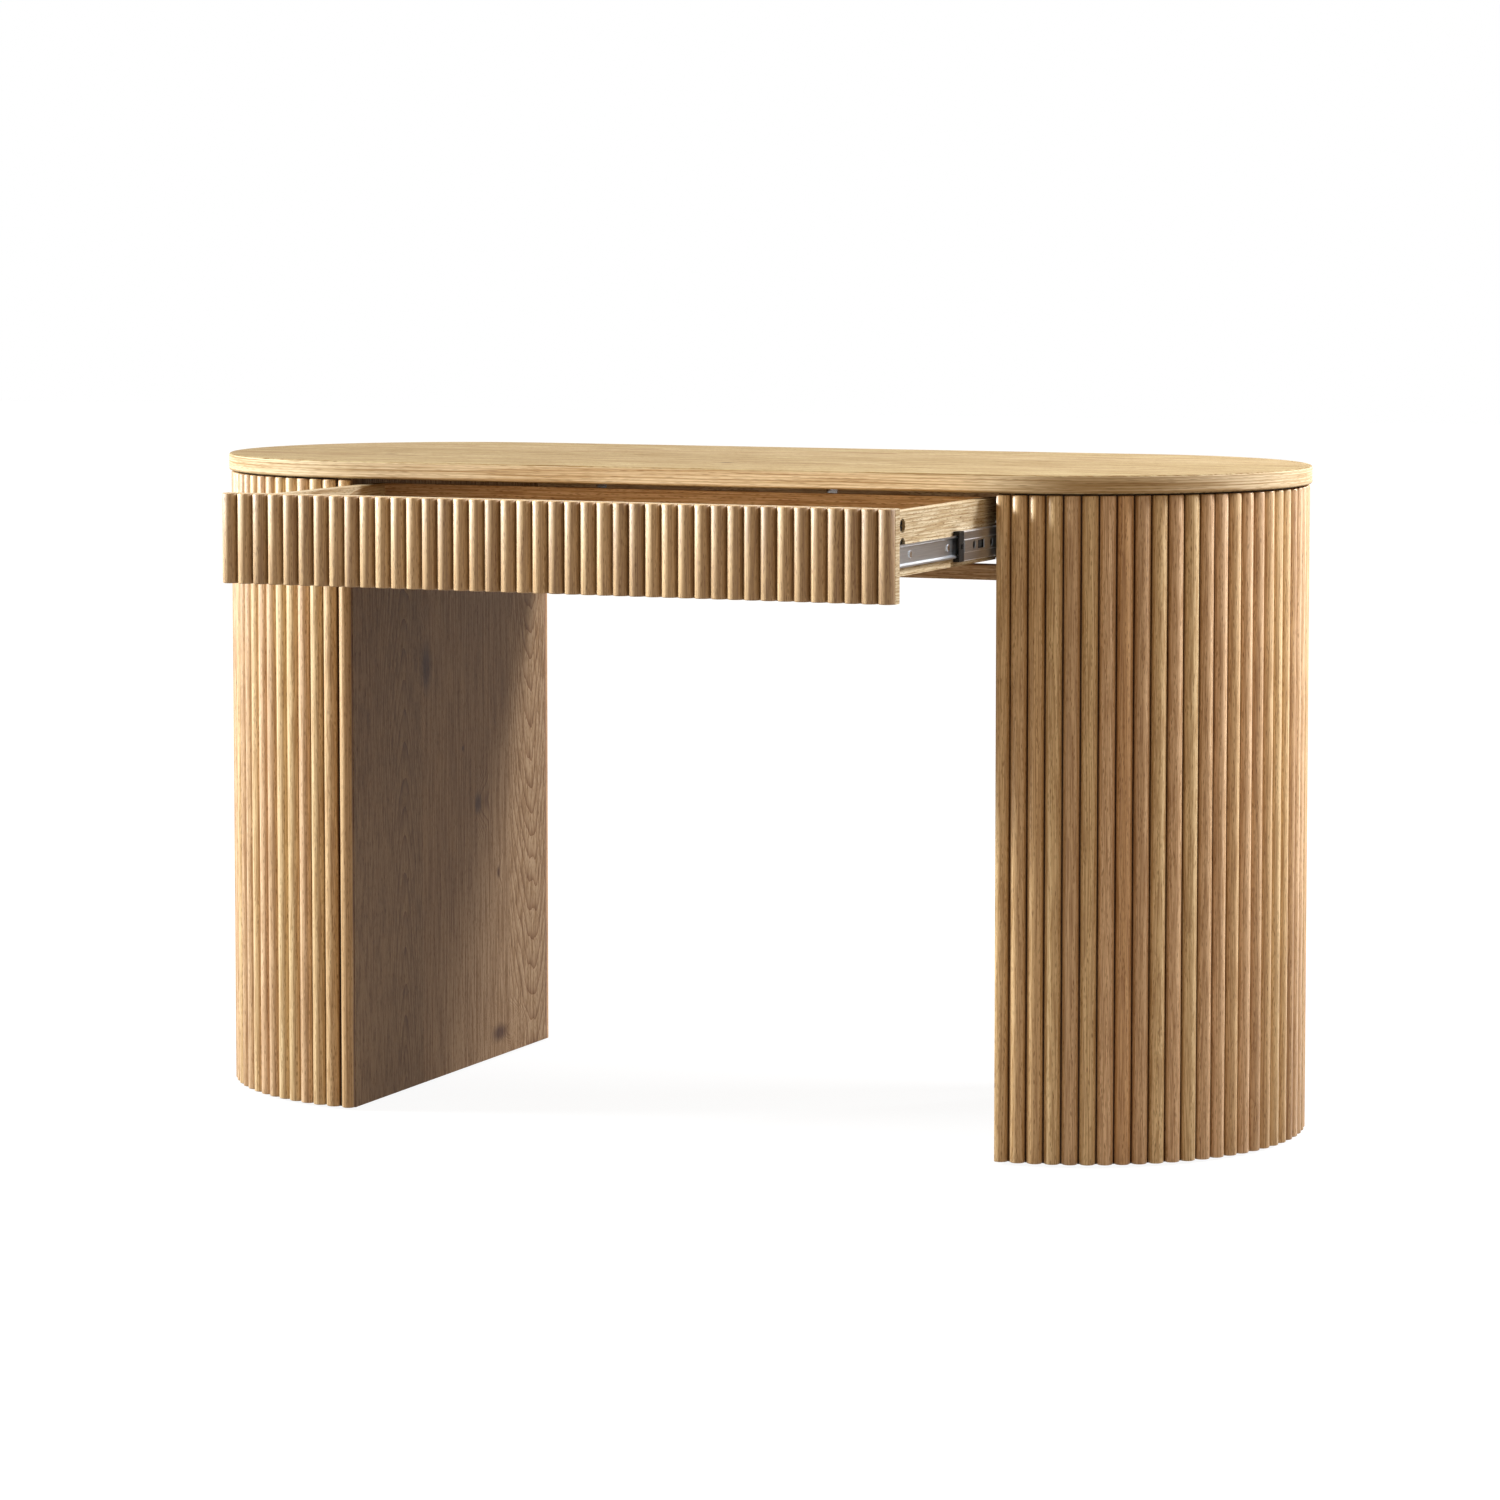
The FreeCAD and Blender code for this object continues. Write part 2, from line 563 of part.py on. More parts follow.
# Drawer box: front board, two bored and grooved sides, a back between them and a thin bottom in grooves
def drawer():
    front = piece("drawer_front_board", "0", f"{DRAWER_SHIFT} - {BASE}", FRONT_BOTTOM)
    plan = rectangle(front, "Plan", "XY_Plane", "0", f"-{FRONT_WIDTH} / 2", "0", f"{FRONT_WIDTH} / 2",
                     "front_board_thickness")
    pad(front, plan, "front_height")
    groove_low = "side_lift + bottom_lift"
    groove_high = f"{groove_low} + bottom_thickness + bore_clearance"
    groove_end = f"({SIDE_FACE} - side_thickness + bottom_groove)"
    groove = rectangle(front, "Groove", "XZ_Plane", "-front_board_thickness", f"-{groove_end}", groove_low,
                       groove_end, groove_high)
    pocket(front, groove, "bottom_groove", along=True)
    bolts = [(f"{hand} * {SIDE_MIDDLE}", f"side_lift + {lift}") for hand in (-1, 1) for lift in cam_lifts()]
    bolt_bores = circles(front, "CamDowels", "XZ_Plane", "-front_board_thickness", bolts, CAM_DOWEL_BORE)
    pocket(front, bolt_bores, "cam_dowel_seat + bore_end_gap", along=True)

    slats = piece("drawer_front_slats", f"-{FRONT_WIDTH} / 2", f"{DRAWER_SHIFT} - {BASE}", FRONT_BOTTOM)
    count = f"floor({FRONT_WIDTH} / drawer_slat_pitch)"
    pitch = f"({FRONT_WIDTH} / {count})"
    section = outline(slats, "HalfRound", "XY_Plane", "0", [
        (f"{pitch} / 2 - slat_width / 2", "0", f"{pitch} / 2", "0", 1),
        (f"{pitch} / 2 + slat_width / 2", "0"),
    ])
    pad(slats, section, "front_height")
    rims = (lies_level(0), lies_level(value("front_height")))
    dress(slats, "Chamfer", "Size", "slat_end_round",
          lambda edge: any(rim(edge) for rim in rims) and is_round(edge))
    repeat(slats, "LinearPattern", "Direction", "X_Axis", Occurrences=count, Offset=pitch)

    for side, hand in (("left", -1), ("right", 1)):
        drawer_side(side, hand)

    inside = f"({SIDE_FACE} - side_thickness)"
    back_front = f"{DRAWER_SHIFT} + {BOARD_BACK} + {SIDE_LENGTH} - back_thickness"
    back = piece("drawer_back", "0", back_front, SIDE_BOTTOM)
    plan = rectangle(back, "Plan", "XY_Plane", "0", f"-{inside}", "0", inside, "back_thickness")
    pad(back, plan, "side_height")
    groove_high = "bottom_lift + bottom_thickness + bore_clearance"
    groove = rectangle(back, "Groove", "XZ_Plane", "0", f"-{inside}", "bottom_lift", inside, groove_high)
    pocket(back, groove, "bottom_groove")
    for lift, hand in ((inside, 1), (f"-{inside}", -1)):
        bores = circles(back, "Dowels", "YZ_Plane", lift, back_dowel_places(), DOWEL_BORE)
        pocket(back, bores, "back_dowel_length - dowel_seat + bore_end_gap", along=hand < 0)

    dowels = piece("drawer_back_dowels", "0", back_front, SIDE_BOTTOM)
    places = back_dowel_places()
    right = circles(dowels, "Right", "YZ_Plane", f"{inside} + dowel_seat", places, "dowel_diameter")
    pad(dowels, right, "back_dowel_length", against=True)
    left = circles(dowels, "Left", "YZ_Plane", f"-{inside} - dowel_seat", places, "dowel_diameter")
    pad(dowels, left, "back_dowel_length")

    bottom_front = f"{DRAWER_SHIFT} + {BOARD_BACK} - bottom_groove + bore_end_gap"
    bottom = piece("drawer_bottom", "0", bottom_front, f"{SIDE_BOTTOM} + bottom_lift")
    half = f"({inside} + bottom_groove - bore_end_gap)"
    length = f"({SIDE_LENGTH} - back_thickness + 2 * bottom_groove - 2 * bore_end_gap)"
    plan = rectangle(bottom, "Plan", "XY_Plane", "0", f"-{half}", "0", half, length)
    pad(bottom, plan, "bottom_thickness")

    bolts = piece("drawer_cam_dowels", "0", f"{DRAWER_SHIFT} + {BOARD_BACK}", SIDE_BOTTOM)
    places = [(f"{hand} * {SIDE_MIDDLE}", lift) for hand in (-1, 1) for lift in cam_lifts()]
    plan = circles(bolts, "Bolts", "XZ_Plane", "cam_dowel_seat", places, "cam_dowel_diameter")
    pad(bolts, plan, f"cam_dowel_seat + {CAM_DOWEL_REACH}", against=True)


def cam_lifts():
    """Heights of the drawer's cams above the lower edge of a side."""
    return ("lower_cam_lift", "upper_cam_lift")


def back_dowel_places():
    """Places of the back's dowels in depth and height, seen from the side."""
    return [("back_thickness / 2", height) for height in ("back_dowel_edge", "side_height - back_dowel_top")]


# One drawer side in a frame whose x runs from its outer face inwards, from its lower front corner
def drawer_side(side, hand):
    turn = 180 if hand > 0 else 0
    place = (f"{hand} * {SIDE_FACE}", f"{DRAWER_SHIFT} + {BOARD_BACK}", SIDE_BOTTOM)
    back = -hand
    board = piece(f"drawer_{side}_side", *place, turn=turn)
    plan = rectangle(board, "Plan", "XY_Plane", "0", "0", "0", "side_thickness", f"{back} * {SIDE_LENGTH}")
    pad(board, plan, "side_height")
    groove = rectangle(board, "Groove", "XZ_Plane", "0", "side_thickness - bottom_groove", "bottom_lift",
                       "side_thickness + cut_overrun", "bottom_lift + bottom_thickness + bore_clearance")
    pocket(board, groove, SIDE_LENGTH, along=back < 0)
    cams = [(f"{back} * cam_setback", lift) for lift in cam_lifts()]
    cam_bores = circles(board, "CamBores", "YZ_Plane", "0", cams, CAM_BORE)
    pocket(board, cam_bores, "cam_bore_depth", along=True)
    bolts = [("side_thickness / 2", lift) for lift in cam_lifts()]
    bolt_bores = circles(board, "CamDowels", "XZ_Plane", "0", bolts, CAM_DOWEL_BORE)
    pocket(board, bolt_bores, "cam_setback", along=back < 0)
    screws = [(f"{back} * (slide_setback + {place})", "slide_lift") for place in drawer_screw_places()]
    screw_bores = circles(board, "SlideScrews", "YZ_Plane", "0", screws, SLIDE_SCREW_BORE)
    pocket(board, screw_bores, "slide_screw_length + bore_end_gap", along=True)
    dowel_middle = f"{back} * ({SIDE_LENGTH} - back_thickness / 2)"
    dowels = [(dowel_middle, height) for _, height in back_dowel_places()]
    dowel_bores = circles(board, "BackDowels", "YZ_Plane", "side_thickness", dowels, DOWEL_BORE)
    pocket(board, dowel_bores, "dowel_seat + bore_end_gap")

    discs = piece(f"drawer_{side}_cams", *place, turn=turn)
    sunk = "(cam_bore_depth - cam_length)"
    faces = circles(discs, "Discs", "YZ_Plane", sunk, cams, "cam_diameter")
    pad(discs, faces, "cam_length")
    for y, z in cams:
        slot = rectangle(discs, "Slot", "YZ_Plane", sunk, f"{y} - cam_diameter", f"{z} - cam_slot_width / 2",
                         f"{y} + cam_diameter", f"{z} + cam_slot_width / 2")
        pocket(discs, slot, "cam_slot_depth", along=True)


# Channel profile that opens along +x, standing on its web at x = 0, and running back along +y
def channel(body, depth, height, web, arm, length):
    half, inner = f"{height} / 2", f"({height} / 2 - {arm})"
    profile = outline(body, "Profile", "XZ_Plane", "0", [
        ("0", f"-{half}"),
        (depth, f"-{half}"),
        (depth, f"-{inner}"),
        (web, f"-{inner}"),
        (web, inner),
        (depth, inner),
        (depth, half),
        ("0", half),
    ])
    pad(body, profile, length, against=True)


# Channel like the one above, with both arms rolled hollow on the outside as tracks for the balls
def tracked_channel(body, depth, height, length):
    rise = f"sqrt(ball_track_radius ^ 2 - ({depth} - ball_track_inset) ^ 2)"
    centre = f"({height} / 2 + {rise})"

    def sheet_height(x, radius):
        return f"({centre} - sqrt({radius} ^ 2 - ({x} - ball_track_inset) ^ 2))"

    inside = "(ball_track_radius + slide_sheet)"
    root, tip = sheet_height("0", "ball_track_radius"), f"({height} / 2)"
    inner_root, inner_tip = sheet_height("slide_sheet", inside), sheet_height(depth, inside)
    profile = outline(body, "Profile", "XZ_Plane", "0", [
        ("0", f"-{root}", "ball_track_inset", f"-{centre}", -1),
        (depth, f"-{tip}"),
        (depth, f"-{inner_tip}", "ball_track_inset", f"-{centre}", 1),
        ("slide_sheet", f"-{inner_root}"),
        ("slide_sheet", inner_root, "ball_track_inset", centre, 1),
        (depth, inner_tip),
        (depth, tip, "ball_track_inset", centre, -1),
        ("0", root),
    ])
    pad(body, profile, length, against=True)


# Channel like the first, with a flat rib pressed out of the middle of its web
def ribbed_channel(body, depth, height, length):
    half, inner = f"{height} / 2", f"({height} / 2 - slide_sheet)"
    foot, crest = "middle_rib_height / 2", "(middle_rib_height / 2 - middle_rib_rise)"
    hollow = "(slide_sheet - middle_rib_rise)"
    profile = outline(body, "Profile", "XZ_Plane", "0", [
        ("0", f"-{half}"),
        (depth, f"-{half}"),
        (depth, f"-{inner}"),
        ("slide_sheet", f"-{inner}"),
        ("slide_sheet", f"-{foot}"),
        (hollow, f"-{crest}"),
        (hollow, crest),
        ("slide_sheet", foot),
        ("slide_sheet", inner),
        (depth, inner),
        (depth, half),
        ("0", half),
        ("0", foot),
        ("-middle_rib_rise", crest),
        ("-middle_rib_rise", f"-{crest}"),
        ("0", f"-{foot}"),
    ])
    pad(body, profile, length, against=True)


def round_bends(body, height):
    """Round the two long bends of a channel between its web and its arms."""
    edge_height = value(height) / 2

    def bend(edge):
        box = edge.BoundBox
        at_web = max(abs(box.XMin), abs(box.XMax)) < PLACE_TOLERANCE
        at_arm = max(abs(abs(box.ZMin) - edge_height), box.ZLength) < PLACE_TOLERANCE
        return at_web and at_arm

    dress(body, "Fillet", "Radius", "slide_bend", bend)


# One telescopic slide: three nested channels, two ball retainers between them, a stop and its screws. Its own
# frame has x from the inner panel's face to the drawer side, so the right slide is the left one turned over.
def slide(side, hand):
    over = 180 if hand > 0 else 0
    back_over = 180 - over

    def member(label, stand, y, turn=over):
        return piece(f"{side}_{label}", f"{hand} * ({END} - {stand})", y, SLIDE_AXIS, BACKWARD, turn)

    front = f"{SHIFT} + {SLIDE_FRONT}"
    cabinet = member("cabinet_slide", "0", front)
    steel = "slide_sheet"
    channel(cabinet, "cabinet_member_depth", "cabinet_member_height", steel, steel, "slide_length")
    lip_outer = "(cabinet_member_height / 2 - slide_sheet)"
    lip_inner = f"({lip_outer} - cabinet_member_lip)"
    lip_left = "cabinet_member_depth - slide_sheet"
    for low, high in ((lip_inner, lip_outer), (f"-{lip_outer}", f"-{lip_inner}")):
        lip = rectangle(cabinet, "Lip", "XZ_Plane", "0", lip_left, low, "cabinet_member_depth", high)
        pad(cabinet, lip, "slide_length", against=True)
    round_bends(cabinet, "cabinet_member_height")
    cabinet_places = [(place, "0") for place in cabinet_screw_places()]
    holes = circles(cabinet, "Holes", "YZ_Plane", "0", cabinet_places, SLIDE_SCREW_BORE)
    pocket(cabinet, holes, "slide_sheet", along=True)

    setback = "slide_length * middle_setback_share"
    middle_front = f"{MIDDLE_SHIFT} + {SLIDE_FRONT} + {setback}"
    middle = member("middle_slide", "middle_member_stand", middle_front)
    middle_length = f"slide_length - {setback} - middle_member_end"
    ribbed_channel(middle, "middle_member_depth", "middle_member_height", middle_length)
    round_bends(middle, "middle_member_height")
    round_holes = [("web_hole_first", "0"), ("web_hole_second", "0")]
    holes = circles(middle, "Holes", "YZ_Plane", "-middle_rib_rise", round_holes, "web_hole_diameter")
    pocket(middle, holes, "slide_sheet", along=True)
    slot_end = "(web_slot_length / 2)"
    slot = rectangle(middle, "Slot", "YZ_Plane", "-middle_rib_rise", f"web_slot_place - {slot_end}",
                     "-web_hole_diameter / 2", f"web_slot_place + {slot_end}", "web_hole_diameter / 2")
    pocket(middle, slot, "slide_sheet", along=True)

    drawer_front = f"{DRAWER_SHIFT} + {SLIDE_FRONT}"
    inner = member("drawer_slide", "slide_thickness", drawer_front, back_over)
    tracked_channel(inner, "drawer_member_depth", "drawer_member_height", "slide_length")
    drawer_places = [(place, "0") for place in drawer_screw_places()]
    holes = circles(inner, "Holes", "YZ_Plane", "0", drawer_places, SLIDE_SCREW_BORE)
    pocket(inner, holes, "slide_sheet", along=True)

    slide_screws(member("cabinet_screws", "0", front), cabinet_places)
    slide_screws(member("drawer_screws", "slide_thickness", drawer_front, back_over), drawer_places)

    outer_height = "(cabinet_member_height - 2 * slide_sheet - 2 * retainer_play)"
    outer_arm = f"(({outer_height} - middle_member_height) / 2 - retainer_play)"
    outer_stand = "(middle_member_stand - middle_rib_rise - retainer_stand - retainer_web)"
    outer_depth = f"(cabinet_member_depth - slide_sheet - retainer_play - {outer_stand})"
    outer_front = f"{OUTER_RETAINER_SHIFT} + {SLIDE_FRONT} + slide_length * outer_setback_share"
    retainer = member("outer_retainer", outer_stand, outer_front)
    outer_length = "slide_length * outer_retainer_share"
    channel(retainer, outer_depth, outer_height, "retainer_web", outer_arm, outer_length)

    inner_height = "(middle_member_height - 2 * slide_sheet - 2 * retainer_play)"
    inner_arm = f"(({inner_height} - drawer_member_height) / 2 - retainer_play)"
    inner_stand = "(middle_member_stand + slide_sheet + retainer_stand)"
    inner_depth = f"(middle_member_stand + middle_member_depth - {inner_stand})"
    inner_front = f"{INNER_RETAINER_SHIFT} + {SLIDE_FRONT} + slide_length * inner_setback_share"
    retainer = member("inner_retainer", inner_stand, inner_front)
    inner_length = "slide_length * inner_retainer_share"
    channel(retainer, inner_depth, inner_height, "retainer_web", inner_arm, inner_length)

    stop = member("slide_stop", "middle_member_stand", f"{middle_front} - slide_stop_length")
    gap_height = "(drawer_member_height + 2 * slide_stop_play)"
    stop_arm = f"((slide_stop_height - {gap_height}) / 2)"
    channel(stop, "middle_member_depth", "slide_stop_height", "slide_sheet", stop_arm, "slide_stop_length")
    tongue_low = f"({gap_height} / 2)"
    tongue_high = "(middle_member_height / 2 - slide_sheet - retainer_play)"
    tongue_left, tongue_right = "(slide_sheet + retainer_play)", "(middle_member_depth - slide_stop_play)"
    for low, high in ((tongue_low, tongue_high), (f"-{tongue_high}", f"-{tongue_low}")):
        tongue = rectangle(stop, "Tongue", "XZ_Plane", "-slide_stop_length", tongue_left, low, tongue_right,
                           high)
        pad(stop, tongue, "slide_stop_tongue", against=True)
    window_end = "(slide_stop_window / 2)"
    window = rectangle(stop, "Window", "YZ_Plane", "0", f"slide_stop_length / 2 - {window_end}",
                       f"-{window_end}", f"slide_stop_length / 2 + {window_end}", window_end)
    pocket(stop, window, "slide_sheet", along=True)


def slide_screws(screws, places):
    """Pan-head screws through a channel's web into the board behind it."""
    heads = circles(screws, "Heads", "YZ_Plane", "slide_sheet", places, "slide_screw_head_diameter")
    pad(screws, heads, "slide_screw_head_height")
    shanks = circles(screws, "Shanks", "YZ_Plane", "slide_sheet", places, "slide_screw_diameter")
    pad(screws, shanks, "slide_sheet + slide_screw_length", against=True)


desktop()
for side_name, side_hand in (("left", -1), ("right", 1)):
    pedestal(side_name, side_hand)
    slide(side_name, side_hand)
rails()
drawer()
doc.recompute()

# Nothing is written unless every object came out sound
for item in doc.Objects:
    if "Invalid" in item.State or "Error" in item.State:
        raise ValueError(f"{item.Label} failed: {item.State}")
for node in nodes:
    if node.Shape.isNull() or not node.Shape.isValid() or not node.Shape.Solids:
        raise ValueError(f"{node.Label} has no sound shape")

os.makedirs("parts", exist_ok=True)
for node in nodes:
    node.Shape.exportStep(f"parts/{node.Label}.step")
    print(f"{node.Label}: {len(node.Shape.Solids)} solids, {node.Shape.Volume:.0f} mm3")
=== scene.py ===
# %% [markdown]
# # A reeded oval desk, dressed in oak
# The desk stands on two half-round pedestals clad in half-round oak reeds. Its wide drawer is pulled out
# on two ball-bearing slides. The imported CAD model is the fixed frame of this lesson. We look at it through
# a long lens, light it with two softboxes and two spots, lay oak over its boards and put smooth reeds over
# its cladding.

# %% Load the desk
import math
import random
from collections import namedtuple

import bpy
from mathutils import Matrix, Vector


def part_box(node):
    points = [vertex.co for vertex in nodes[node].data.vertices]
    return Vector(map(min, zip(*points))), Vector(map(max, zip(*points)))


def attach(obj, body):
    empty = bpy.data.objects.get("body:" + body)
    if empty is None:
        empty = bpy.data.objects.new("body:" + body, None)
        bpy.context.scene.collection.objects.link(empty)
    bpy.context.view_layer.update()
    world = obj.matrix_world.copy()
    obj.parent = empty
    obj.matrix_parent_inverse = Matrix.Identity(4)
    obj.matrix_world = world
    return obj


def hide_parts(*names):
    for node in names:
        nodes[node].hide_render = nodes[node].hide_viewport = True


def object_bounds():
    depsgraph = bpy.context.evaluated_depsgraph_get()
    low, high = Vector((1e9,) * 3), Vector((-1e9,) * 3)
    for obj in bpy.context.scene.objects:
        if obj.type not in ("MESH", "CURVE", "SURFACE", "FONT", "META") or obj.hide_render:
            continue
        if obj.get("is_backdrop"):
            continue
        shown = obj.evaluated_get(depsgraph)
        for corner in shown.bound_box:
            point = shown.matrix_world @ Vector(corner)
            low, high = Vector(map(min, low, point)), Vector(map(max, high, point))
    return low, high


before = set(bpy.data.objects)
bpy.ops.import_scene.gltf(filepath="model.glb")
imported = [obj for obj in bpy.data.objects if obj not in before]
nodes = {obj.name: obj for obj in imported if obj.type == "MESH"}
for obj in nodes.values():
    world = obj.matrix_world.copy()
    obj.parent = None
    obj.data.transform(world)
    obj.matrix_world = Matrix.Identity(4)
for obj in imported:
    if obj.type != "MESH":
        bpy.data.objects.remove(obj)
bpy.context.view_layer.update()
MM = 0.001

# %% [markdown]
# ## The camera
# The portrait was taken from about five metres with a long lens, a little to the sitter's right and about
# a quarter of a metre above the top. From so far away the uprights stay almost parallel. Part of the
# framing is a small lens shift and the rest is a small tilt, so that the desk also fits in other views.

# %% Set up the camera
SENSOR_MM = 36
LENS_MM = 111.615
LENS_SHIFT = -0.12
CAMERA_PLACE = (2.1291, -4.8222, 1.0054)
TILT_DEGREES, TURN_DEGREES = 4.059, 23.25
lens = bpy.data.cameras.new("portrait_lens")
lens.sensor_width = SENSOR_MM
lens.lens = LENS_MM
lens.shift_y = LENS_SHIFT
camera = bpy.data.objects.new("portrait_camera", lens)
camera.location = CAMERA_PLACE
camera.rotation_euler = (math.radians(90 - TILT_DEGREES), 0, math.radians(TURN_DEGREES))
bpy.context.scene.collection.objects.link(camera)
bpy.context.scene.camera = camera
bpy.context.scene.view_settings.view_transform = "Standard"
print(f"camera {camera.location.length:.2f} m from the middle of the floor under the desk")

# %% [markdown]
# ## One function for nodes
# Every finish below is a small tree of shader nodes. They could be wired up one by one, but then the wiring
# would hide the idea. So one function adds a node, sets it up and links what feeds it. Colours are given
# as sRGB hex values, and the shader wants linear light, so a second function turns one into the other.


# %% Node and colour helpers
def put(tree, kind, feeds=None, **settings):
    """Add a node; a feed is a socket to link or a value to set, found by input name or number."""
    made = tree.nodes.new(kind)
    for name, setting in settings.items():
        setattr(made, name, setting)
    for place, feed in (feeds or {}).items():
        if isinstance(feed, bpy.types.NodeSocket):
            tree.links.new(feed, made.inputs[place])
        else:
            made.inputs[place].default_value = feed
    return made


def paint(code):
    """Linear red, green, blue and alpha of an sRGB hex colour."""
    parts = [int(code[i:i + 2], 16) / 255 for i in (1, 3, 5)]
    return [p / 12.92 if p <= 0.04045 else ((p + 0.055) / 1.055) ** 2.4 for p in parts] + [1]


def finish_named(name):
    """A new material with its tree and its surface shader."""
    finish = bpy.data.materials.new(name)
    finish.use_nodes = True
    return finish, finish.node_tree, finish.node_tree.nodes["Principled BSDF"]


print(f"middle grey is {paint('#808080')[0]:.3f} in linear light")

# %% [markdown]
# ## The floor
# The portrait has a plain white ground. A floor could be lit until it is white, but it would then throw too
# much light up at the desk. So a light path gives it two faces: a warm grey for the light that bounces off
# it, and white for the eye and for reflections, where it keeps a faint part of the desk's shadow.

# %% Lay the floor
FLOOR_SIDE = 40
# Close to the desk the floor glows a little less than white, and from the second distance on, in metres, it
# is white.
DIM_WITHIN, WHITE_BEYOND = 0.6, 3
DIM_GLOW = 0.93


def seen_directly(tree):
    """1 for rays from the eye, off something shiny or through something clear, and 0 for bounced light."""
    rays = put(tree, "ShaderNodeLightPath").outputs
    seen = put(tree, "ShaderNodeMath", {0: rays["Is Camera Ray"], 1: rays["Is Glossy Ray"]}).outputs[0]
    return put(tree, "ShaderNodeMath", {0: seen, 1: rays["Is Transmission Ray"]}, use_clamp=True).outputs[0]


bpy.ops.object.select_all(action="DESELECT")
bpy.ops.mesh.primitive_plane_add(size=FLOOR_SIDE)
floor = bpy.context.object
floor.name = "studio_floor"
floor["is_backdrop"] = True
# Matt paper scatters light evenly, so the eye sees no shine on it, only a soft shadow.
paper, tree, unused_shader = finish_named("matt_white_paper")
tree.nodes.remove(unused_shader)
bounced = put(tree, "ShaderNodeBsdfDiffuse", {"Color": paint("#948B80")}).outputs[0]
place = put(tree, "ShaderNodeTexCoord").outputs["Object"]
away = put(tree, "ShaderNodeVectorMath", {0: place}, operation="LENGTH").outputs["Value"]
fade = put(tree, "ShaderNodeMapRange", {"Value": away, 1: DIM_WITHIN, 2: WHITE_BEYOND, 3: DIM_GLOW, 4: 1})
glow = put(tree, "ShaderNodeEmission", {"Color": paint("#FFFFFF"), "Strength": fade.outputs[0]}).outputs[0]
shadow = put(tree, "ShaderNodeBsdfDiffuse", {"Color": paint("#5A5A5A")}).outputs[0]
white = put(tree, "ShaderNodeAddShader", {0: glow, 1: shadow}).outputs[0]
both = put(tree, "ShaderNodeMixShader", {0: seen_directly(tree), 1: bounced, 2: white}).outputs[0]
tree.links.new(both, tree.nodes["Material Output"].inputs["Surface"])
floor.data.materials.append(paper)
print(f"floor {FLOOR_SIDE} m wide, white from {WHITE_BEYOND} m out")

# %% [markdown]
# ## The world
# A desk in a studio stands in a room, and the walls send some warm light back into its shadows. Walls could
# be built, but they would get in the way of the other views, so the world takes their place. It is white
# behind the desk, by the same light path, and a warm fill at half strength for everything else.

# %% Fill the world
FILL_STRENGTH = 0.5
world = bpy.data.worlds.new("white_studio")
bpy.context.scene.world = world
world.use_nodes = True
tree = world.node_tree
fill = put(tree, "ShaderNodeBackground", {"Color": paint("#FFDFB8"), "Strength": FILL_STRENGTH}).outputs[0]
behind = put(tree, "ShaderNodeBackground", {"Color": paint("#FFFFFF"), "Strength": 1}).outputs[0]
both = put(tree, "ShaderNodeMixShader", {0: seen_directly(tree), 1: fill, 2: behind}).outputs[0]
tree.links.new(both, tree.nodes["World Output"].inputs["Surface"])
print(f"white world with a warm fill of {FILL_STRENGTH}")

# %% [markdown]
# ## Two softboxes and two spots
# The shading of the half-round reeds tells where the lamps stood. The lit flank of each drawer reed ends
# just past its crown, so the key light stood almost in the drawer front's own plane, far to the left. The
# right limb of the right pedestal, the drawer's right side and the back of the left panel catch a second
# lamp, which stood to the right and behind. Both are softboxes, because the shadows have soft rims. Two
# narrow spots help them: one beside the key rakes over the drawer front alone, whose flanks are brighter
# than those of the pedestals, and one behind on the right lights the outer reeds of the right pedestal.
# The lamps are slightly cool, so the lit flanks look cooler than the shadows, which the warm fill lights.

# %% Hang the lamps
SPOT_RIM = 0.25
SPOT_BULB = 0.3


def hang(lamp, place, aim, watts, colour):
    """Hang a lamp at a place in metres, facing its aim."""
    lamp.energy = watts
    lamp.color = paint(colour)[:3]
    hung = bpy.data.objects.new(lamp.name, lamp)
    hung.location = place
    throw = Vector(aim) - Vector(place)
    hung.rotation_euler = throw.to_track_quat("-Z", "Y").to_euler()
    bpy.context.scene.collection.objects.link(hung)
    print(f"{lamp.name}: {watts} W, {throw.length:.1f} m from its aim")


for name, side, place, aim, watts, colour in (
    ("key_softbox", 1.6, (-5.86, -1.75, 2.87), (0, -0.4, 0.68), 858, "#F1F8FD"),
    ("side_softbox", 0.6, (2.1, 1.0, 2.2), (0, 0.1, 0.5), 98, "#F5F8FF"),
):
    box = bpy.data.lights.new(name, "AREA")
    box.shape = "SQUARE"
    box.size = side
    hang(box, place, aim, watts, colour)

for name, cone, place, aim, watts, colour in (
    ("drawer_spot", 5.4, (-5.49, -1.69, 2.73), (0, -0.42, 0.68), 2500, "#F6FBF4"),
    ("rim_spot", 12.6, (2.75, 2.78, 2.0), (0.56, 0.12, 0.42), 615, "#EEF6F8"),
):
    spot = bpy.data.lights.new(name, "SPOT")
    spot.spot_size = math.radians(cone)
    spot.spot_blend = SPOT_RIM
    spot.shadow_soft_size = SPOT_BULB
    hang(spot, place, aim, watts, colour)

# %% [markdown]
# ## What oak looks like
# A trunk is a stack of growth rings. A board cut beside the middle of the trunk shows them as arches and
# one cut through the middle as straight lines. Stripes painted on each face would be simpler, but they
# wouldn't meet at the edges. So the figure is worked out inside the trunk, in millimetres: across, deep and
# along the grain, with the pith along z. Each ring starts with a band of open pores, which show as short
# dark dashes, and ends in a thin line of darker late wood. Fine fibres run along the grain, and the rings
# wander a little as they rise.

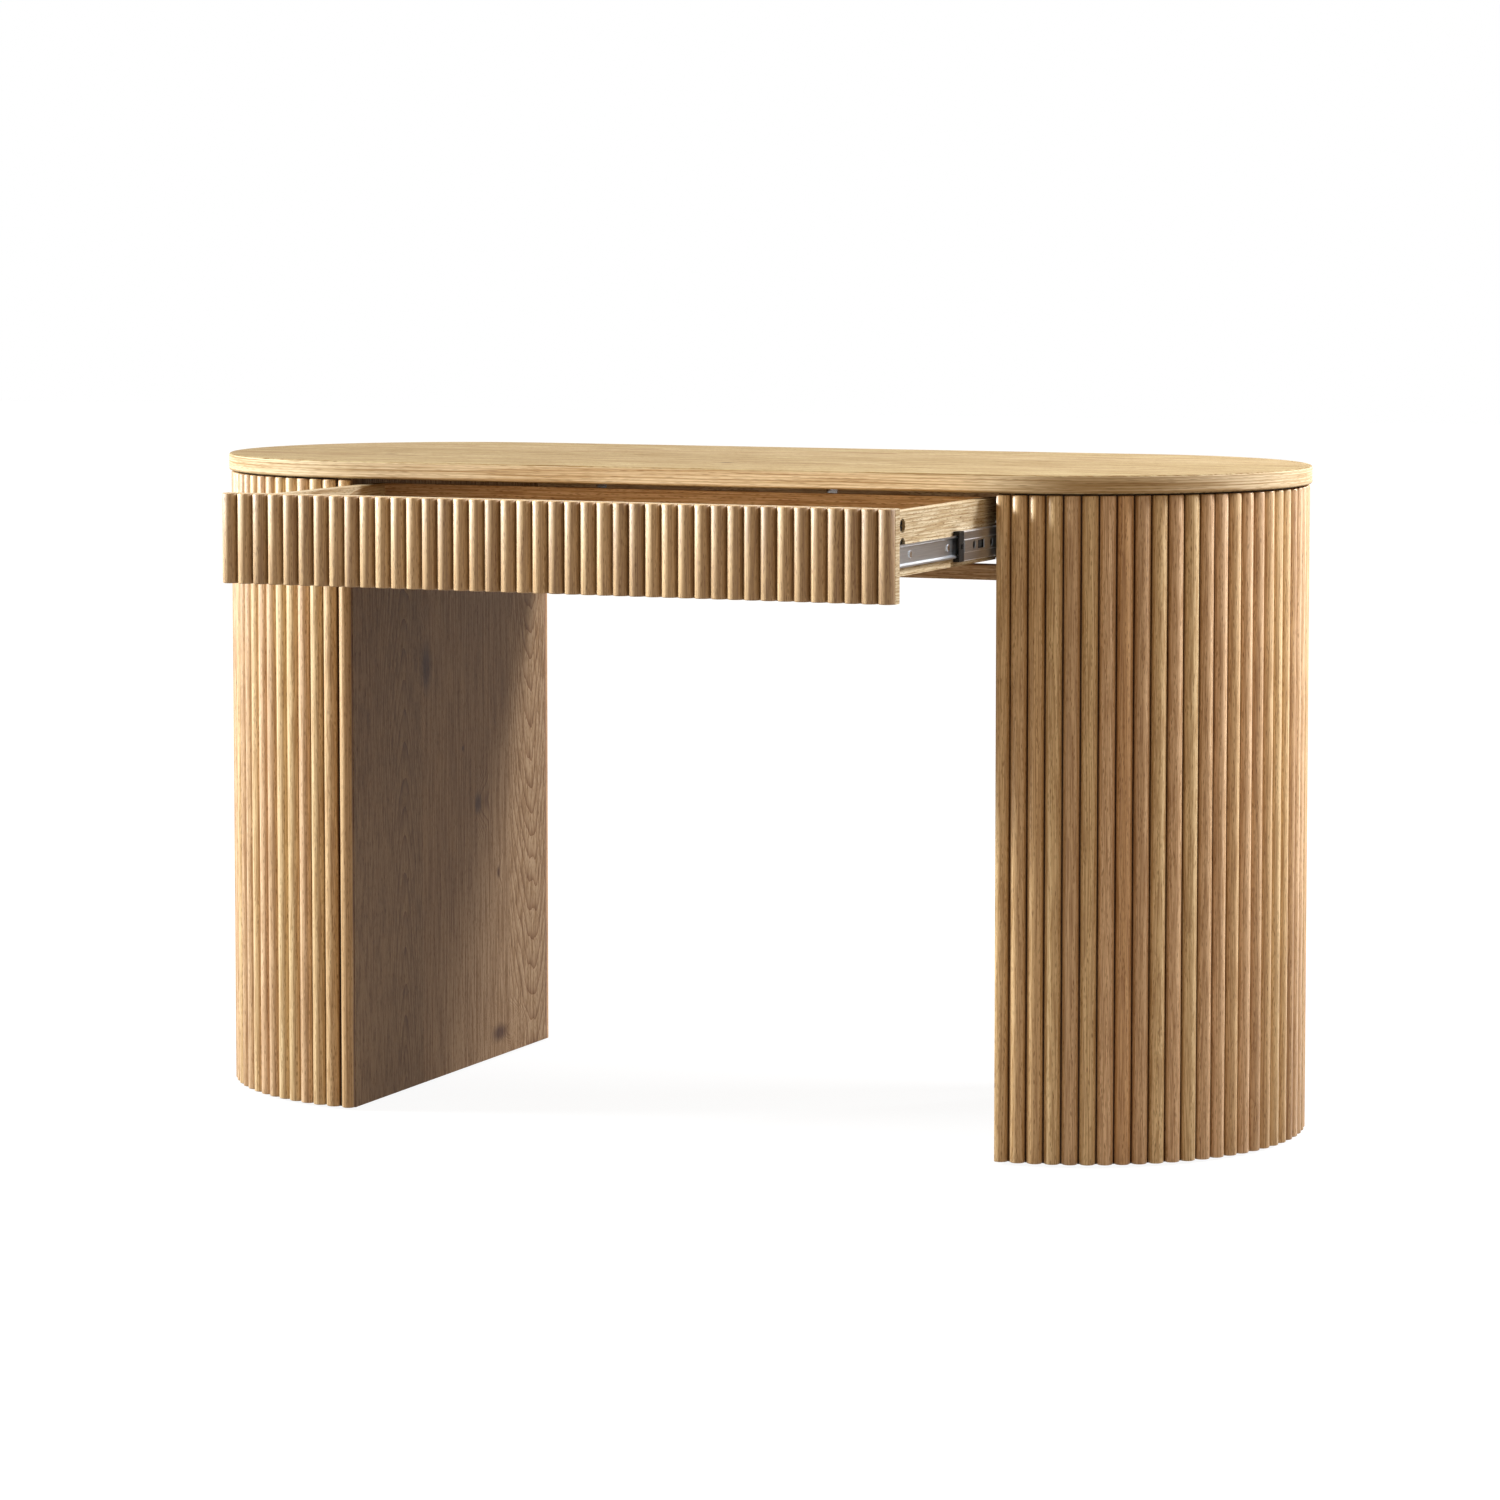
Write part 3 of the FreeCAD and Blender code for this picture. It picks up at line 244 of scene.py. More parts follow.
# %% Oak figure
# A real pore is about 0.3 mm wide and a fibre much finer, too fine for a portrait of a whole desk, so both
# are drawn more than a millimetre wide. These are the sizes of one fibre, one pore and one wander.
FIBRE_MM = (1.3, 1.3, 90)
PORE_MM = (1.5, 1.5, 9)
WANDER_MM = (45, 45, 380)
FIBRE_NOISE = {"Scale": 1, "Detail": 3, "Roughness": 0.65}
WANDER_NOISE = {"Scale": 1, "Detail": 3, "Roughness": 0.42}
# Late wood gathers towards the end of a year. A pore fades out from its core to its rim, and the pores thin
# out to the least share of them between these parts of a year.
LATE_POWER = 3
PORE_CORE, PORE_RIM = 0.16, 0.42
THIN_FROM, THIN_TO, LEAST_PORES = 0.2, 0.75, 0.25
# The spacing and the wander of the rings are in millimetres. Where even broad fibres don't show, coarse says
# how many times broader they are drawn. The last value is how dark the late wood is.
Growth = namedtuple("Growth", "spacing wander coarse dark")


def oak_figure(tree, log, growth, bulge=None):
    """Late wood, fibre and pore strength, each 0 to 1, at a place in the trunk given in millimetres."""
    fibre_mm = (FIBRE_MM[0] * growth.coarse, FIBRE_MM[1] * growth.coarse, FIBRE_MM[2])
    at_wander, at_fibre, at_pore = (
        put(tree, "ShaderNodeVectorMath", {0: log, 1: [1 / m for m in size]}, operation="MULTIPLY").outputs[0]
        for size in (WANDER_MM, fibre_mm, PORE_MM))
    wander = put(tree, "ShaderNodeTexNoise", {"Vector": at_wander, **WANDER_NOISE}).outputs[0]
    flat = put(tree, "ShaderNodeVectorMath", {0: log, 1: (1, 1, 0)}, operation="MULTIPLY").outputs[0]
    reach = put(tree, "ShaderNodeVectorMath", {0: flat}, operation="LENGTH").outputs["Value"]
    reach = put(tree, "ShaderNodeMath", {0: wander, 1: growth.wander, 2: reach},
                operation="MULTIPLY_ADD").outputs[0]
    if bulge is not None:
        reach = put(tree, "ShaderNodeMath", {0: reach, 1: bulge}).outputs[0]
    years = put(tree, "ShaderNodeMath", {0: reach, 1: growth.spacing}, operation="DIVIDE").outputs[0]
    year = put(tree, "ShaderNodeMath", {0: years}, operation="FRACT").outputs[0]
    late = put(tree, "ShaderNodeMath", {0: year, 1: LATE_POWER}, operation="POWER").outputs[0]
    fibre = put(tree, "ShaderNodeTexNoise", {"Vector": at_fibre, **FIBRE_NOISE}).outputs[0]
    cell = put(tree, "ShaderNodeTexVoronoi", {"Vector": at_pore, "Scale": 1}).outputs["Distance"]
    dash = put(tree, "ShaderNodeMapRange", {"Value": cell, 1: PORE_CORE, 2: PORE_RIM, 3: 1, 4: 0}).outputs[0]
    early = put(tree, "ShaderNodeMapRange", {"Value": year, 1: THIN_FROM, 2: THIN_TO, 3: 1, 4: LEAST_PORES})
    pore = put(tree, "ShaderNodeMath", {0: dash, 1: early.outputs[0]}, operation="MULTIPLY").outputs[0]
    return late, fibre, pore


print(f"oak pores drawn {PORE_MM[0]} mm wide and {PORE_MM[2]} mm long")

# %% [markdown]
# ## Lacquered oak
# Satin lacquer lets the grain show and breaks up reflections. The tone is a ramp from yellow through honey
# to brown oak, because no two sticks of oak are alike. Late wood, fibres, pores and knots could each have a
# colour of their own, but under lacquer they only deepen the wood, so they multiply it one after the other.
# The pores also dent the surface a little and make it rougher.

# %% Oak finish
LATE_WOOD = "#B89C7C"
FIBRE_SHADE = "#CDBDA6"
PORE_SHADE = "#A08C74"
# Darkens the knots of boards, and is also painted shade in the grooves of the pedestals' reeds.
KNOT_AND_PAINTED_GROOVE_SHADE = "#7A5232"
FIBRE_PALE, FIBRE_DARK = 0.43, 0.61
PORE_STRENGTH = 0.75
PORE_ROUGHER = 0.2
PORE_BUMP = {"Strength": 0.3, "Distance": 0.2 * MM}
LACQUER_IOR = 1.5
Lacquer = namedtuple("Lacquer", "rough shine")


def oak(tree, shader, log, tone, tones, growth, lacquer, bulge=None, knot_and_painted_groove_shade=None):
    """Fill a finish with oak; tone picks one of the tones, bulge bends the rings round knots, and the last
    input darkens knots on boards and paints shade into the grooves of reeds.
    """
    late, fibre, pore = oak_figure(tree, log, growth, bulge)
    ramp = put(tree, "ShaderNodeValToRGB", {"Fac": tone})
    stops = ramp.color_ramp.elements
    while len(stops) < len(tones):
        stops.new(0.5)
    for i, code in enumerate(tones):
        stops[i].position = i / (len(tones) - 1)
        stops[i].color = paint(code)
    lines = put(tree, "ShaderNodeMath", {0: late, 1: growth.dark}, operation="MULTIPLY").outputs[0]
    thread = put(tree, "ShaderNodeMapRange", {"Value": fibre, 1: FIBRE_PALE, 2: FIBRE_DARK}).outputs[0]
    dashes = put(tree, "ShaderNodeMath", {0: pore, 1: PORE_STRENGTH}, operation="MULTIPLY").outputs[0]
    wood = ramp.outputs[0]
    # The last layer darkens knots on boards; on the pedestals' reeds it is painted shade in the grooves.
    for share, shade in ((lines, LATE_WOOD), (thread, FIBRE_SHADE), (dashes, PORE_SHADE), (knot_and_painted_groove_shade, KNOT_AND_PAINTED_GROOVE_SHADE)):
        if share is not None:
            wood = put(tree, "ShaderNodeMix", {0: share, 6: wood, 7: paint(shade)},
                       data_type="RGBA", blend_type="MULTIPLY").outputs[2]
    tree.links.new(wood, shader.inputs["Base Color"])
    least, most = lacquer.rough, lacquer.rough + PORE_ROUGHER
    rough = put(tree, "ShaderNodeMapRange", {"Value": pore, 3: least, 4: most})
    tree.links.new(rough.outputs[0], shader.inputs["Roughness"])
    dent = put(tree, "ShaderNodeMath", {0: fibre, 1: pore}, operation="SUBTRACT").outputs[0]
    bump = put(tree, "ShaderNodeBump", {"Height": dent, **PORE_BUMP})
    tree.links.new(bump.outputs[0], shader.inputs["Normal"])
    shader.inputs["IOR"].default_value = LACQUER_IOR
    shader.inputs["Specular IOR Level"].default_value = lacquer.shine


print("oak layered from late wood, fibres, pores and knots")

# %% [markdown]
# ## Oak for the reeds
# Each reed was shaped from its own stick, so its tone and its place in a trunk can't come from one pattern
# over the whole cladding. The mesh of a reed carries them as attributes, and the finish reads them. A third
# attribute marks the foot of a reed, where painted shade darkens the colour of the grooves. The grooves round
# a pedestal are darker than those of the drawer front, so only the pedestals' finish reads it.

# %% Mix the oak of the reeds
PEDESTAL_TONES = ("#E4CB9D", "#DCBC8C", "#D0B088", "#E2C19A", "#C09D72", "#E4B884")
DRAWER_REED_TONES = ("#CEB083", "#C0A072", "#AE8E62", "#C6A77A")
REED_GROWTH = Growth(spacing=5, wander=30, coarse=1, dark=0.35)
REED_MARKS = {"log": "FLOAT_VECTOR", "tone": "FLOAT", "painted_groove_shade": "FLOAT"}


def turned_oak(name, tones, lacquer, paints_groove_shade):
    """Finish of reeds, which carry their place in the trunk, their tone and the painted shade of their
    grooves.
    """
    finish, tree, shader = finish_named(name)
    log, tone, painted_groove_shade = (put(tree, "ShaderNodeAttribute", attribute_name=mark).outputs for mark in REED_MARKS)
    oak(tree, shader, log["Vector"], tone["Fac"], tones, REED_GROWTH, lacquer,
        knot_and_painted_groove_shade=painted_groove_shade["Fac"] if paints_groove_shade else None)
    return finish


# Turned oak under satin lacquer gives a soft bright line down each crown, between grooves darkened by painted
# shade.
pedestal_oak = turned_oak("turned_oak_satin_lacquer", PEDESTAL_TONES,
                          Lacquer(rough=0.4, shine=0.5), paints_groove_shade=True)
# The drawer front's lacquer is thicker and duller, so the raking light gives it wide cream flanks.
drawer_oak = turned_oak("turned_oak_drawer_front", DRAWER_REED_TONES,
                        Lacquer(rough=0.55, shine=0.9), paints_groove_shade=False)
print(f"oak for the reeds mixed in {len(PEDESTAL_TONES)} and {len(DRAWER_REED_TONES)} tones")

# %% [markdown]
# ## Strips of veneer
# The boards are veneered in strips, laid side by side and cut from different flitches. A table gives each
# strip's start, the place of its pith beside and behind the face, how much the trunk leaned, and a tone.
# A pith far behind gives straight grain, and a near, leaning one gives arches. Each strip could be a mesh of
# its own, but a colour ramp with hard steps holds such a table inside one material.

# %% Lay strips of veneer
TOP_STRIPS = ((-130, -60, 60, 0.02, 0.1), (-20, 40, 150, 0.01, 0.45), (95, 160, 40, -0.03, 0.25),
              (205, 300, 120, 0.02, 0.6), (318, 360, 70, 0.015, 0.05))
PANEL_STRIPS = ((-130, 22, 10, 0.09, 0.4), (65, 260, 60, 0.02, 0.8), (172, 60, 90, 0.02, 0.2),
                (300, 360, 112, -0.1, 0.85))
RAIL_STRIPS = ((500, 560, 60, 0.02, 0.3), (660, 690, 90, 0.015, 0.7))
DRAWER_STRIPS = ((500, 560, 40, 0.03, 0.3), (700, 590, 60, 0.02, 0.6))
# A ramp holds values from 0 to 1 only, so a pith's depth is stored as a share of the deepest one, and its
# lean with an offset. The last strip is as wide as the board may need. Strips were cut far apart along the
# trunk, so each is moved along by some times the place of its pith, and none repeats its neighbour.
DEEPEST_MM = 400
NO_LEAN = 0.5
LAST_STRIP_MM = 400
APART = 7


def trunk_axes(tree, across, deep, along):
    """The three Object coordinates in millimetres, in the order across, deep and along the grain."""
    place = put(tree, "ShaderNodeTexCoord").outputs["Object"]
    place = put(tree, "ShaderNodeVectorMath", {0: place, 1: [1 / MM] * 3}, operation="MULTIPLY").outputs[0]
    axes = put(tree, "ShaderNodeSeparateXYZ", {0: place}).outputs
    return axes[across], axes[deep], axes[along]


def laid_strips(tree, across, deep, along, strips):
    """Place in the trunk and tone for strips of (start, pith beside, pith behind, lean, tone)."""
    low, high = strips[0][0], strips[-1][0] + LAST_STRIP_MM
    share = put(tree, "ShaderNodeMapRange", {"Value": across, 1: low, 2: high}).outputs[0]
    table = put(tree, "ShaderNodeValToRGB", {"Fac": share})
    table.color_ramp.interpolation = "CONSTANT"
    stops = table.color_ramp.elements
    while len(stops) < len(strips):
        stops.new(0.5)
    for stop, (start, beside, behind, lean, tone) in zip(stops, strips):
        stop.position = (start - low) / (high - low)
        stop.color = ((beside - low) / (high - low), behind / DEEPEST_MM, lean + NO_LEAN, tone)
    row = put(tree, "ShaderNodeSeparateColor", {0: table.outputs["Color"]}).outputs
    pith = put(tree, "ShaderNodeMapRange", {"Value": row[0], 3: low, 4: high}, clamp=False).outputs[0]
    side = put(tree, "ShaderNodeMath", {0: across, 1: pith}, operation="SUBTRACT").outputs[0]
    slope = put(tree, "ShaderNodeMath", {0: row[2], 1: NO_LEAN}, operation="SUBTRACT").outputs[0]
    rise = put(tree, "ShaderNodeMath", {0: slope, 1: along, 2: deep}, operation="MULTIPLY_ADD").outputs[0]
    depth = put(tree, "ShaderNodeMath", {0: row[1], 1: DEEPEST_MM, 2: rise},
                operation="MULTIPLY_ADD").outputs[0]
    length = put(tree, "ShaderNodeMath", {0: pith, 1: APART, 2: along}, operation="MULTIPLY_ADD").outputs[0]
    log = put(tree, "ShaderNodeCombineXYZ", {0: side, 1: depth, 2: length}).outputs[0]
    return log, table.outputs["Alpha"]


print(f"{len(TOP_STRIPS)} strips for the top and {len(PANEL_STRIPS)} for each panel")

# %% [markdown]
# ## Knots
# A knot is where a branch grew out of the trunk. Its middle is dark and the rings bend round it. A dark spot
# laid over the veneer would let the rings run straight through it. So each knot pushes the rings outwards
# over a few times its own width, and a narrower fade darkens its core.

# %% Grow knots
# Each knot has its place across and along the grain, then its half width and half length, in millimetres.
TOP_KNOTS = ((20, 20, 8, 10), (60, -430, 7, 9))
LEFT_KNOTS = ((79, 500, 14, 32), (215, 322, 10, 14), (270, 231, 4, 8), (174, 393, 2, 4), (272, 31, 22, 11))
# A knot's reach and height as it bends the rings, and where its core is darkest and ends, in half widths.
BEND_REACH, BEND_HEIGHT = 4, 2
CORE_FROM, CORE_TO, CORE_DARK = 0.2, 1.4, 0.9


def knotted(tree, across, along, knots):
    """Bulge of the rings in millimetres and darkness from knots, or None and None without knots."""
    bulge, dark = 0, 0
    for at_across, at_along, wide, tall in knots:
        offset = put(tree, "ShaderNodeCombineXYZ", {0: across, 1: along}).outputs[0]
        middle, shrink = (at_across, at_along, 0), (1 / wide, 1 / tall, 0)
        for operation, amount in (("SUBTRACT", middle), ("MULTIPLY", shrink)):
            offset = put(tree, "ShaderNodeVectorMath", {0: offset, 1: amount}, operation=operation).outputs[0]
        away = put(tree, "ShaderNodeVectorMath", {0: offset}, operation="LENGTH").outputs["Value"]
        height = BEND_HEIGHT * wide
        bend = put(tree, "ShaderNodeMapRange", {"Value": away, 1: 0, 2: BEND_REACH, 3: height, 4: 0},
                   interpolation_type="SMOOTHSTEP").outputs[0]
        core = put(tree, "ShaderNodeMapRange", {"Value": away, 1: CORE_FROM, 2: CORE_TO, 3: CORE_DARK, 4: 0},
                   interpolation_type="SMOOTHSTEP").outputs[0]
        bulge = put(tree, "ShaderNodeMath", {0: bend, 1: bulge}).outputs[0]
        dark = put(tree, "ShaderNodeMath", {0: core, 1: dark}, operation="MAXIMUM").outputs[0]
    return (bulge, dark) if knots else (None, None)


print(f"{len(TOP_KNOTS)} knots for the top and {len(LEFT_KNOTS)} for the left panel")

# %% [markdown]
# ## The edge of the top
# A band of veneer is bent round the edge of the oval top, with its grain along the edge. A thin mesh could be
# wrapped round it, but it would stand proud of the CAD model. So the top's own finish changes over to the
# band wherever its face stands upright, which the surface normal tells. The way along the band is x on the
# straight sides and the turn round the nearer end on the round ones.

# %% Band the edge
PANEL_FACE_MM = 395
OVAL_Y = 148.75 * MM
END_X = PANEL_FACE_MM * MM
EDGE_RADIUS = 265 * MM
EDGE_PITH_MM = 12
# The band takes the palest tone of the top, which paints in light that the upright edge catches.
EDGE_TONE_PAINTED_LIGHT = 1
# The band's grain is drawn at half the breadth and twice the length of the top's, because the band is low.
EDGE_FINER, EDGE_LONGER = 2, 2
UPRIGHT_BELOW = 0.5


def edge_band(tree, log, tone):
    """Swap log and tone for those of a strip bent round the oval's edge, wherever the face stands upright; the
    strip's pale tone is painted light.
    """
    x, y, z = trunk_axes(tree, "X", "Y", "Z")
    straight = put(tree, "ShaderNodeClamp", {0: x, 1: -END_X / MM, 2: END_X / MM}).outputs[0]
    out = put(tree, "ShaderNodeMath", {0: x, 1: straight}, operation="SUBTRACT").outputs[0]
    back = put(tree, "ShaderNodeMath", {0: y, 1: OVAL_Y / MM}, operation="SUBTRACT").outputs[0]
    aside = put(tree, "ShaderNodeMath", {0: back}, operation="ABSOLUTE").outputs[0]
    turn = put(tree, "ShaderNodeMath", {0: out, 1: aside}, operation="ARCTAN2").outputs[0]
    along = put(tree, "ShaderNodeMath", {0: turn, 1: EDGE_RADIUS / MM, 2: straight},
                operation="MULTIPLY_ADD").outputs[0]
    height = put(tree, "ShaderNodeMath", {0: z, 1: EDGE_FINER}, operation="MULTIPLY").outputs[0]
    length = put(tree, "ShaderNodeMath", {0: along, 1: 1 / EDGE_LONGER}, operation="MULTIPLY").outputs[0]
    strip = put(tree, "ShaderNodeCombineXYZ", {0: height, 1: EDGE_PITH_MM, 2: length}).outputs[0]
    normal = put(tree, "ShaderNodeTexCoord").outputs["Normal"]
    facing = put(tree, "ShaderNodeSeparateXYZ", {0: normal}).outputs["Z"]
    level = put(tree, "ShaderNodeMath", {0: facing}, operation="ABSOLUTE").outputs[0]
    upright = put(tree, "ShaderNodeMath", {0: level, 1: UPRIGHT_BELOW}, operation="LESS_THAN").outputs[0]
    log = put(tree, "ShaderNodeMix", {0: upright, 4: log, 5: strip}, data_type="VECTOR").outputs[1]
    return log, put(tree, "ShaderNodeMix", {0: upright, 2: tone, 3: EDGE_TONE_PAINTED_LIGHT}).outputs[0]


print(f"edge band {4 * END_X + 2 * math.pi * EDGE_RADIUS:.2f} m long")

# %% [markdown]
# ## Veneered boards
# The strips, the knots and the band come together in one function, which is told which of the three axes
# run across, into and along the board and at what depth its face lies. The CAD boards keep their shapes, and
# only the finish in their material slots changes.

# %% Veneer the boards
BOARD_LACQUER = Lacquer(rough=0.5, shine=0.2)


def board(name, axes, face, strips, tones, growth, lacquer=BOARD_LACQUER, knots=(), edged=False):
    """Finish of a veneered board; axes run across, into and along the grain, and its face is at that depth."""
    finish, tree, shader = finish_named(name)
    across, deep, along = trunk_axes(tree, *axes)
    deep = put(tree, "ShaderNodeMath", {0: deep, 1: face}, operation="SUBTRACT").outputs[0]
    log, tone = laid_strips(tree, across, deep, along, strips)
    if edged:
        log, tone = edge_band(tree, log, tone)
    bulge, dark = knotted(tree, across, along, knots)
    oak(tree, shader, log, tone, tones, growth, lacquer, bulge, dark)
    return finish


TOP_FACE_MM = 753
DRAWER_SIDE_MM = 382
# The last, palest tone is used only by the edge band, as painted light.
TOP_TONES = ("#B7A680", "#AD9A74", "#BAA884", "#DDCAA8")
PANEL_TONES = ("#A98E70", "#937A5B", "#AE9374")
RAIL_TONES = ("#D6BC9A", "#CEAF8B", "#DAC2A0")
DRAWER_TONES = ("#D6C9AC", "#CDBE9E", "#DACEB3")
TOP_GROWTH = Growth(spacing=6, wander=8, coarse=3.5, dark=0.6)
PANEL_GROWTH = Growth(spacing=3.5, wander=12, coarse=3, dark=1)
RAIL_GROWTH = Growth(spacing=5, wander=8, coarse=1, dark=0.5)
DRAWER_GROWTH = Growth(spacing=3.4, wander=8, coarse=1, dark=0.8)
# Crown-cut oak under a flat lacquer: wide calm arches, pale, with hardly any shine.
top_veneer = board("crown_cut_oak_veneer_top", "YZX", TOP_FACE_MM, TOP_STRIPS, TOP_TONES, TOP_GROWTH,
                   Lacquer(rough=0.6, shine=0.06), TOP_KNOTS, edged=True)
# Knotty oak veneer, laid upright: browner, with tall arches, and dark knots on the left panel.
left_panel_veneer = board("knotty_oak_veneer_left", "YXZ", -PANEL_FACE_MM, PANEL_STRIPS, PANEL_TONES,
                          PANEL_GROWTH, knots=LEFT_KNOTS)
right_panel_veneer = board("knotty_oak_veneer_right", "YXZ", PANEL_FACE_MM, PANEL_STRIPS, PANEL_TONES,
                           PANEL_GROWTH)
# Plain sliced oak veneer on rails: straight lines along the length.
rail_veneer = board("oak_veneer_rails", "ZYX", 0, RAIL_STRIPS, RAIL_TONES, RAIL_GROWTH)
back_veneer = board("oak_veneer_drawer_back", "ZYX", 0, RAIL_STRIPS, RAIL_TONES, RAIL_GROWTH)
# A paler oak veneer on the drawer's sides: close, clear lines that end at the front.
side_veneer = board("pale_oak_veneer_drawer_sides", "ZXY", DRAWER_SIDE_MM, DRAWER_STRIPS, DRAWER_TONES,
                    DRAWER_GROWTH)
for finish, names in (
    (top_veneer, ["desktop"]),
    (left_panel_veneer, ["left_inner_panel"]),
    (right_panel_veneer, ["right_inner_panel"]),
    (rail_veneer, ["back_apron", "front_rail"]),
    (side_veneer, ["drawer_left_side", "drawer_right_side", "drawer_front_board"]),
    (back_veneer, ["drawer_back", "drawer_bottom"]),
):
    for name in names:
        nodes[name].material_slots[0].material = finish
    print(f"{finish.name} laid on {', '.join(names)}")

# %% [markdown]
# ## One reed
# A reed is a half-round oak stick with softened ends, glued flat side down. A cylinder cut in half along
# its axis gives the stick, and a small bevel on its end rims gives the softened ends, which catch the light.
# The CAD slats have this shape too, but a reed of our own can carry its tone and its grain with it.

# %% Shape one reed
REED_RADIUS = 9.07 * MM
REED_FACETS = 32
END_ROUND = 1.2 * MM
END_STEPS = 2
HAIR = 1e-6


def half_round(name, low, high):
    """A half-round stick from one height to another, its flat back in the plane y = 0, its crown at -y."""
    bpy.ops.object.select_all(action="DESELECT")
    bpy.ops.mesh.primitive_cylinder_add(vertices=REED_FACETS, radius=REED_RADIUS, depth=high - low,
                                        location=(0, 0, (low + high) / 2))
    reed = bpy.context.object
    reed.name = name
    bpy.ops.object.transform_apply(location=True)
    bpy.context.tool_settings.mesh_select_mode = (False, True, False)
    bpy.ops.object.mode_set(mode="EDIT")
    bpy.ops.mesh.select_all(action="SELECT")
    bpy.ops.mesh.bisect(plane_co=(0, 0, 0), plane_no=(0, 1, 0), use_fill=True, clear_outer=True)
    bpy.ops.mesh.select_all(action="DESELECT")
    bpy.ops.object.mode_set(mode="OBJECT")
    points = reed.data.vertices
    for edge in reed.data.edges:
        a, b = (points[i].co for i in edge.vertices)
        edge.select = abs(a.z - b.z) < HAIR and (a.y + b.y) < -HAIR
    bpy.ops.object.mode_set(mode="EDIT")
    bpy.ops.mesh.bevel(offset=END_ROUND, segments=END_STEPS, affect="EDGES")
    bpy.ops.object.mode_set(mode="OBJECT")
    print(f"{name}: {len(reed.data.polygons)} faces, {(high - low) / MM:.0f} mm long")
    return reed


reed_low, reed_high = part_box("right_slats")
tall_reed = half_round("pedestal_reed", reed_low.z, reed_high.z)

# %% [markdown]
# ## Cladding
# Every copy of the reed has its own mesh, its own tone and its own place in a trunk, because neighbouring
# reeds come from different sticks. An array would be quicker, but all its reeds would have the same grain.
# The copies are joined to one piece for each pedestal and for the drawer front, and painted shade for the
# grooves between them is marked from their depth.

# %% Copy and join reeds
# A reed's foot gets painted shade up to this depth: full strength at the flat back, and the share given below
# higher up.
GROOVE_DEPTH = 2 * MM
FLAT_BACK = 0.1 * MM
GROOVE_PAINTED_SHADE = 0.6
SMOOTH_BELOW = math.radians(50)
# A stick may have grown this far to either side of the pith, this far in front of it and this far along the
# trunk, in millimetres, and its grain leans by this slope at most.
ASIDE_MM, IN_FRONT_MM, ALONG_MM = 70, (5, 60), 900
MOST_LEAN = 0.03


def clad(name, reed, places, seed, finish, rip=None):
    """One piece of reeds at these places, each with its own tone; the last one may be ripped at a plane."""
    draw = random.Random(seed)
    laid = []
    for number, place in enumerate(places):
        stick = bpy.data.objects.new(f"{name}_{number}", reed.data.copy())
        bpy.context.scene.collection.objects.link(stick)
        for mark, kind in REED_MARKS.items():
            stick.data.attributes.new(mark, kind, "POINT")
        log, tone, painted_groove_shade = (stick.data.attributes[mark].data for mark in REED_MARKS)
        centre = Vector((draw.uniform(-ASIDE_MM, ASIDE_MM), draw.uniform(*IN_FRONT_MM),
                         draw.uniform(-ALONG_MM, ALONG_MM)))
        lean = draw.uniform(-MOST_LEAN, MOST_LEAN)
        shade = draw.random()
        for point in stick.data.vertices:
            grain = point.co / MM
            grain.y += lean * grain.z
            depth = -point.co.y
            log[point.index].vector = grain + centre
            tone[point.index].value = shade
            # Marks the foot of the reed for painted shade, darkest at the flat back.
            painted_groove_shade[point.index].value = 1 if depth < FLAT_BACK else GROOVE_PAINTED_SHADE if depth < GROOVE_DEPTH else 0
        stick.data.transform(place)
        laid.append(stick)
    bpy.ops.object.select_all(action="DESELECT")
    if rip:
        bpy.context.view_layer.objects.active = laid[-1]
        laid[-1].select_set(True)
        bpy.ops.object.mode_set(mode="EDIT")
        bpy.ops.mesh.select_all(action="SELECT")
        bpy.ops.mesh.bisect(plane_co=rip[0], plane_no=rip[1], use_fill=True, clear_inner=True)
        bpy.ops.object.mode_set(mode="OBJECT")
    for stick in laid:
        stick.select_set(True)
    bpy.context.view_layer.objects.active = laid[0]
    bpy.ops.object.join()
    cladding = bpy.context.object
    cladding.name = name
    bpy.ops.object.shade_smooth_by_angle(angle=SMOOTH_BELOW)
    cladding.data.materials.append(finish)
    print(f"{name}: {len(laid)} reeds")
    return cladding


print(f"grooves marked {GROOVE_DEPTH / MM:.0f} mm deep")

# %% [markdown]
# ## The pedestals
# The reeds stand like a fan round half a cylinder. They are not a whole number to the half turn: the last
# one at the corner was ripped to the width that was left over. The left pedestal is the right one turned
# half round. Its reed at the front corner was planed narrower, which leaves an open, dark joint beside it.

# %% Clad the pedestals
BASE_RADIUS = 253.4 * MM
REEDS_ROUND = 42
REEDS_TO_HALF_TURN = 41.76
REED_TURN = math.radians(180 / REEDS_TO_HALF_TURN)
PLANED_OFF = 2.2 * MM
RIGHT_SEED, LEFT_SEED = 11, 722
fan = []
for number in range(REEDS_ROUND):
    turn = math.pi - REED_TURN * (number + 0.5)
    foot = Vector((math.sin(turn), -math.cos(turn), 0)) * BASE_RADIUS + Vector((END_X, OVAL_Y, 0))
    fan.append(Matrix.Translation(foot) @ Matrix.Rotation(turn, 4, "Z"))
planed = Matrix.Diagonal((1 - PLANED_OFF / (2 * REED_RADIUS), 1, 1, 1))
planed_fan = [fan[0] @ Matrix.Translation((PLANED_OFF / 2, 0, 0)) @ planed, *fan[1:]]
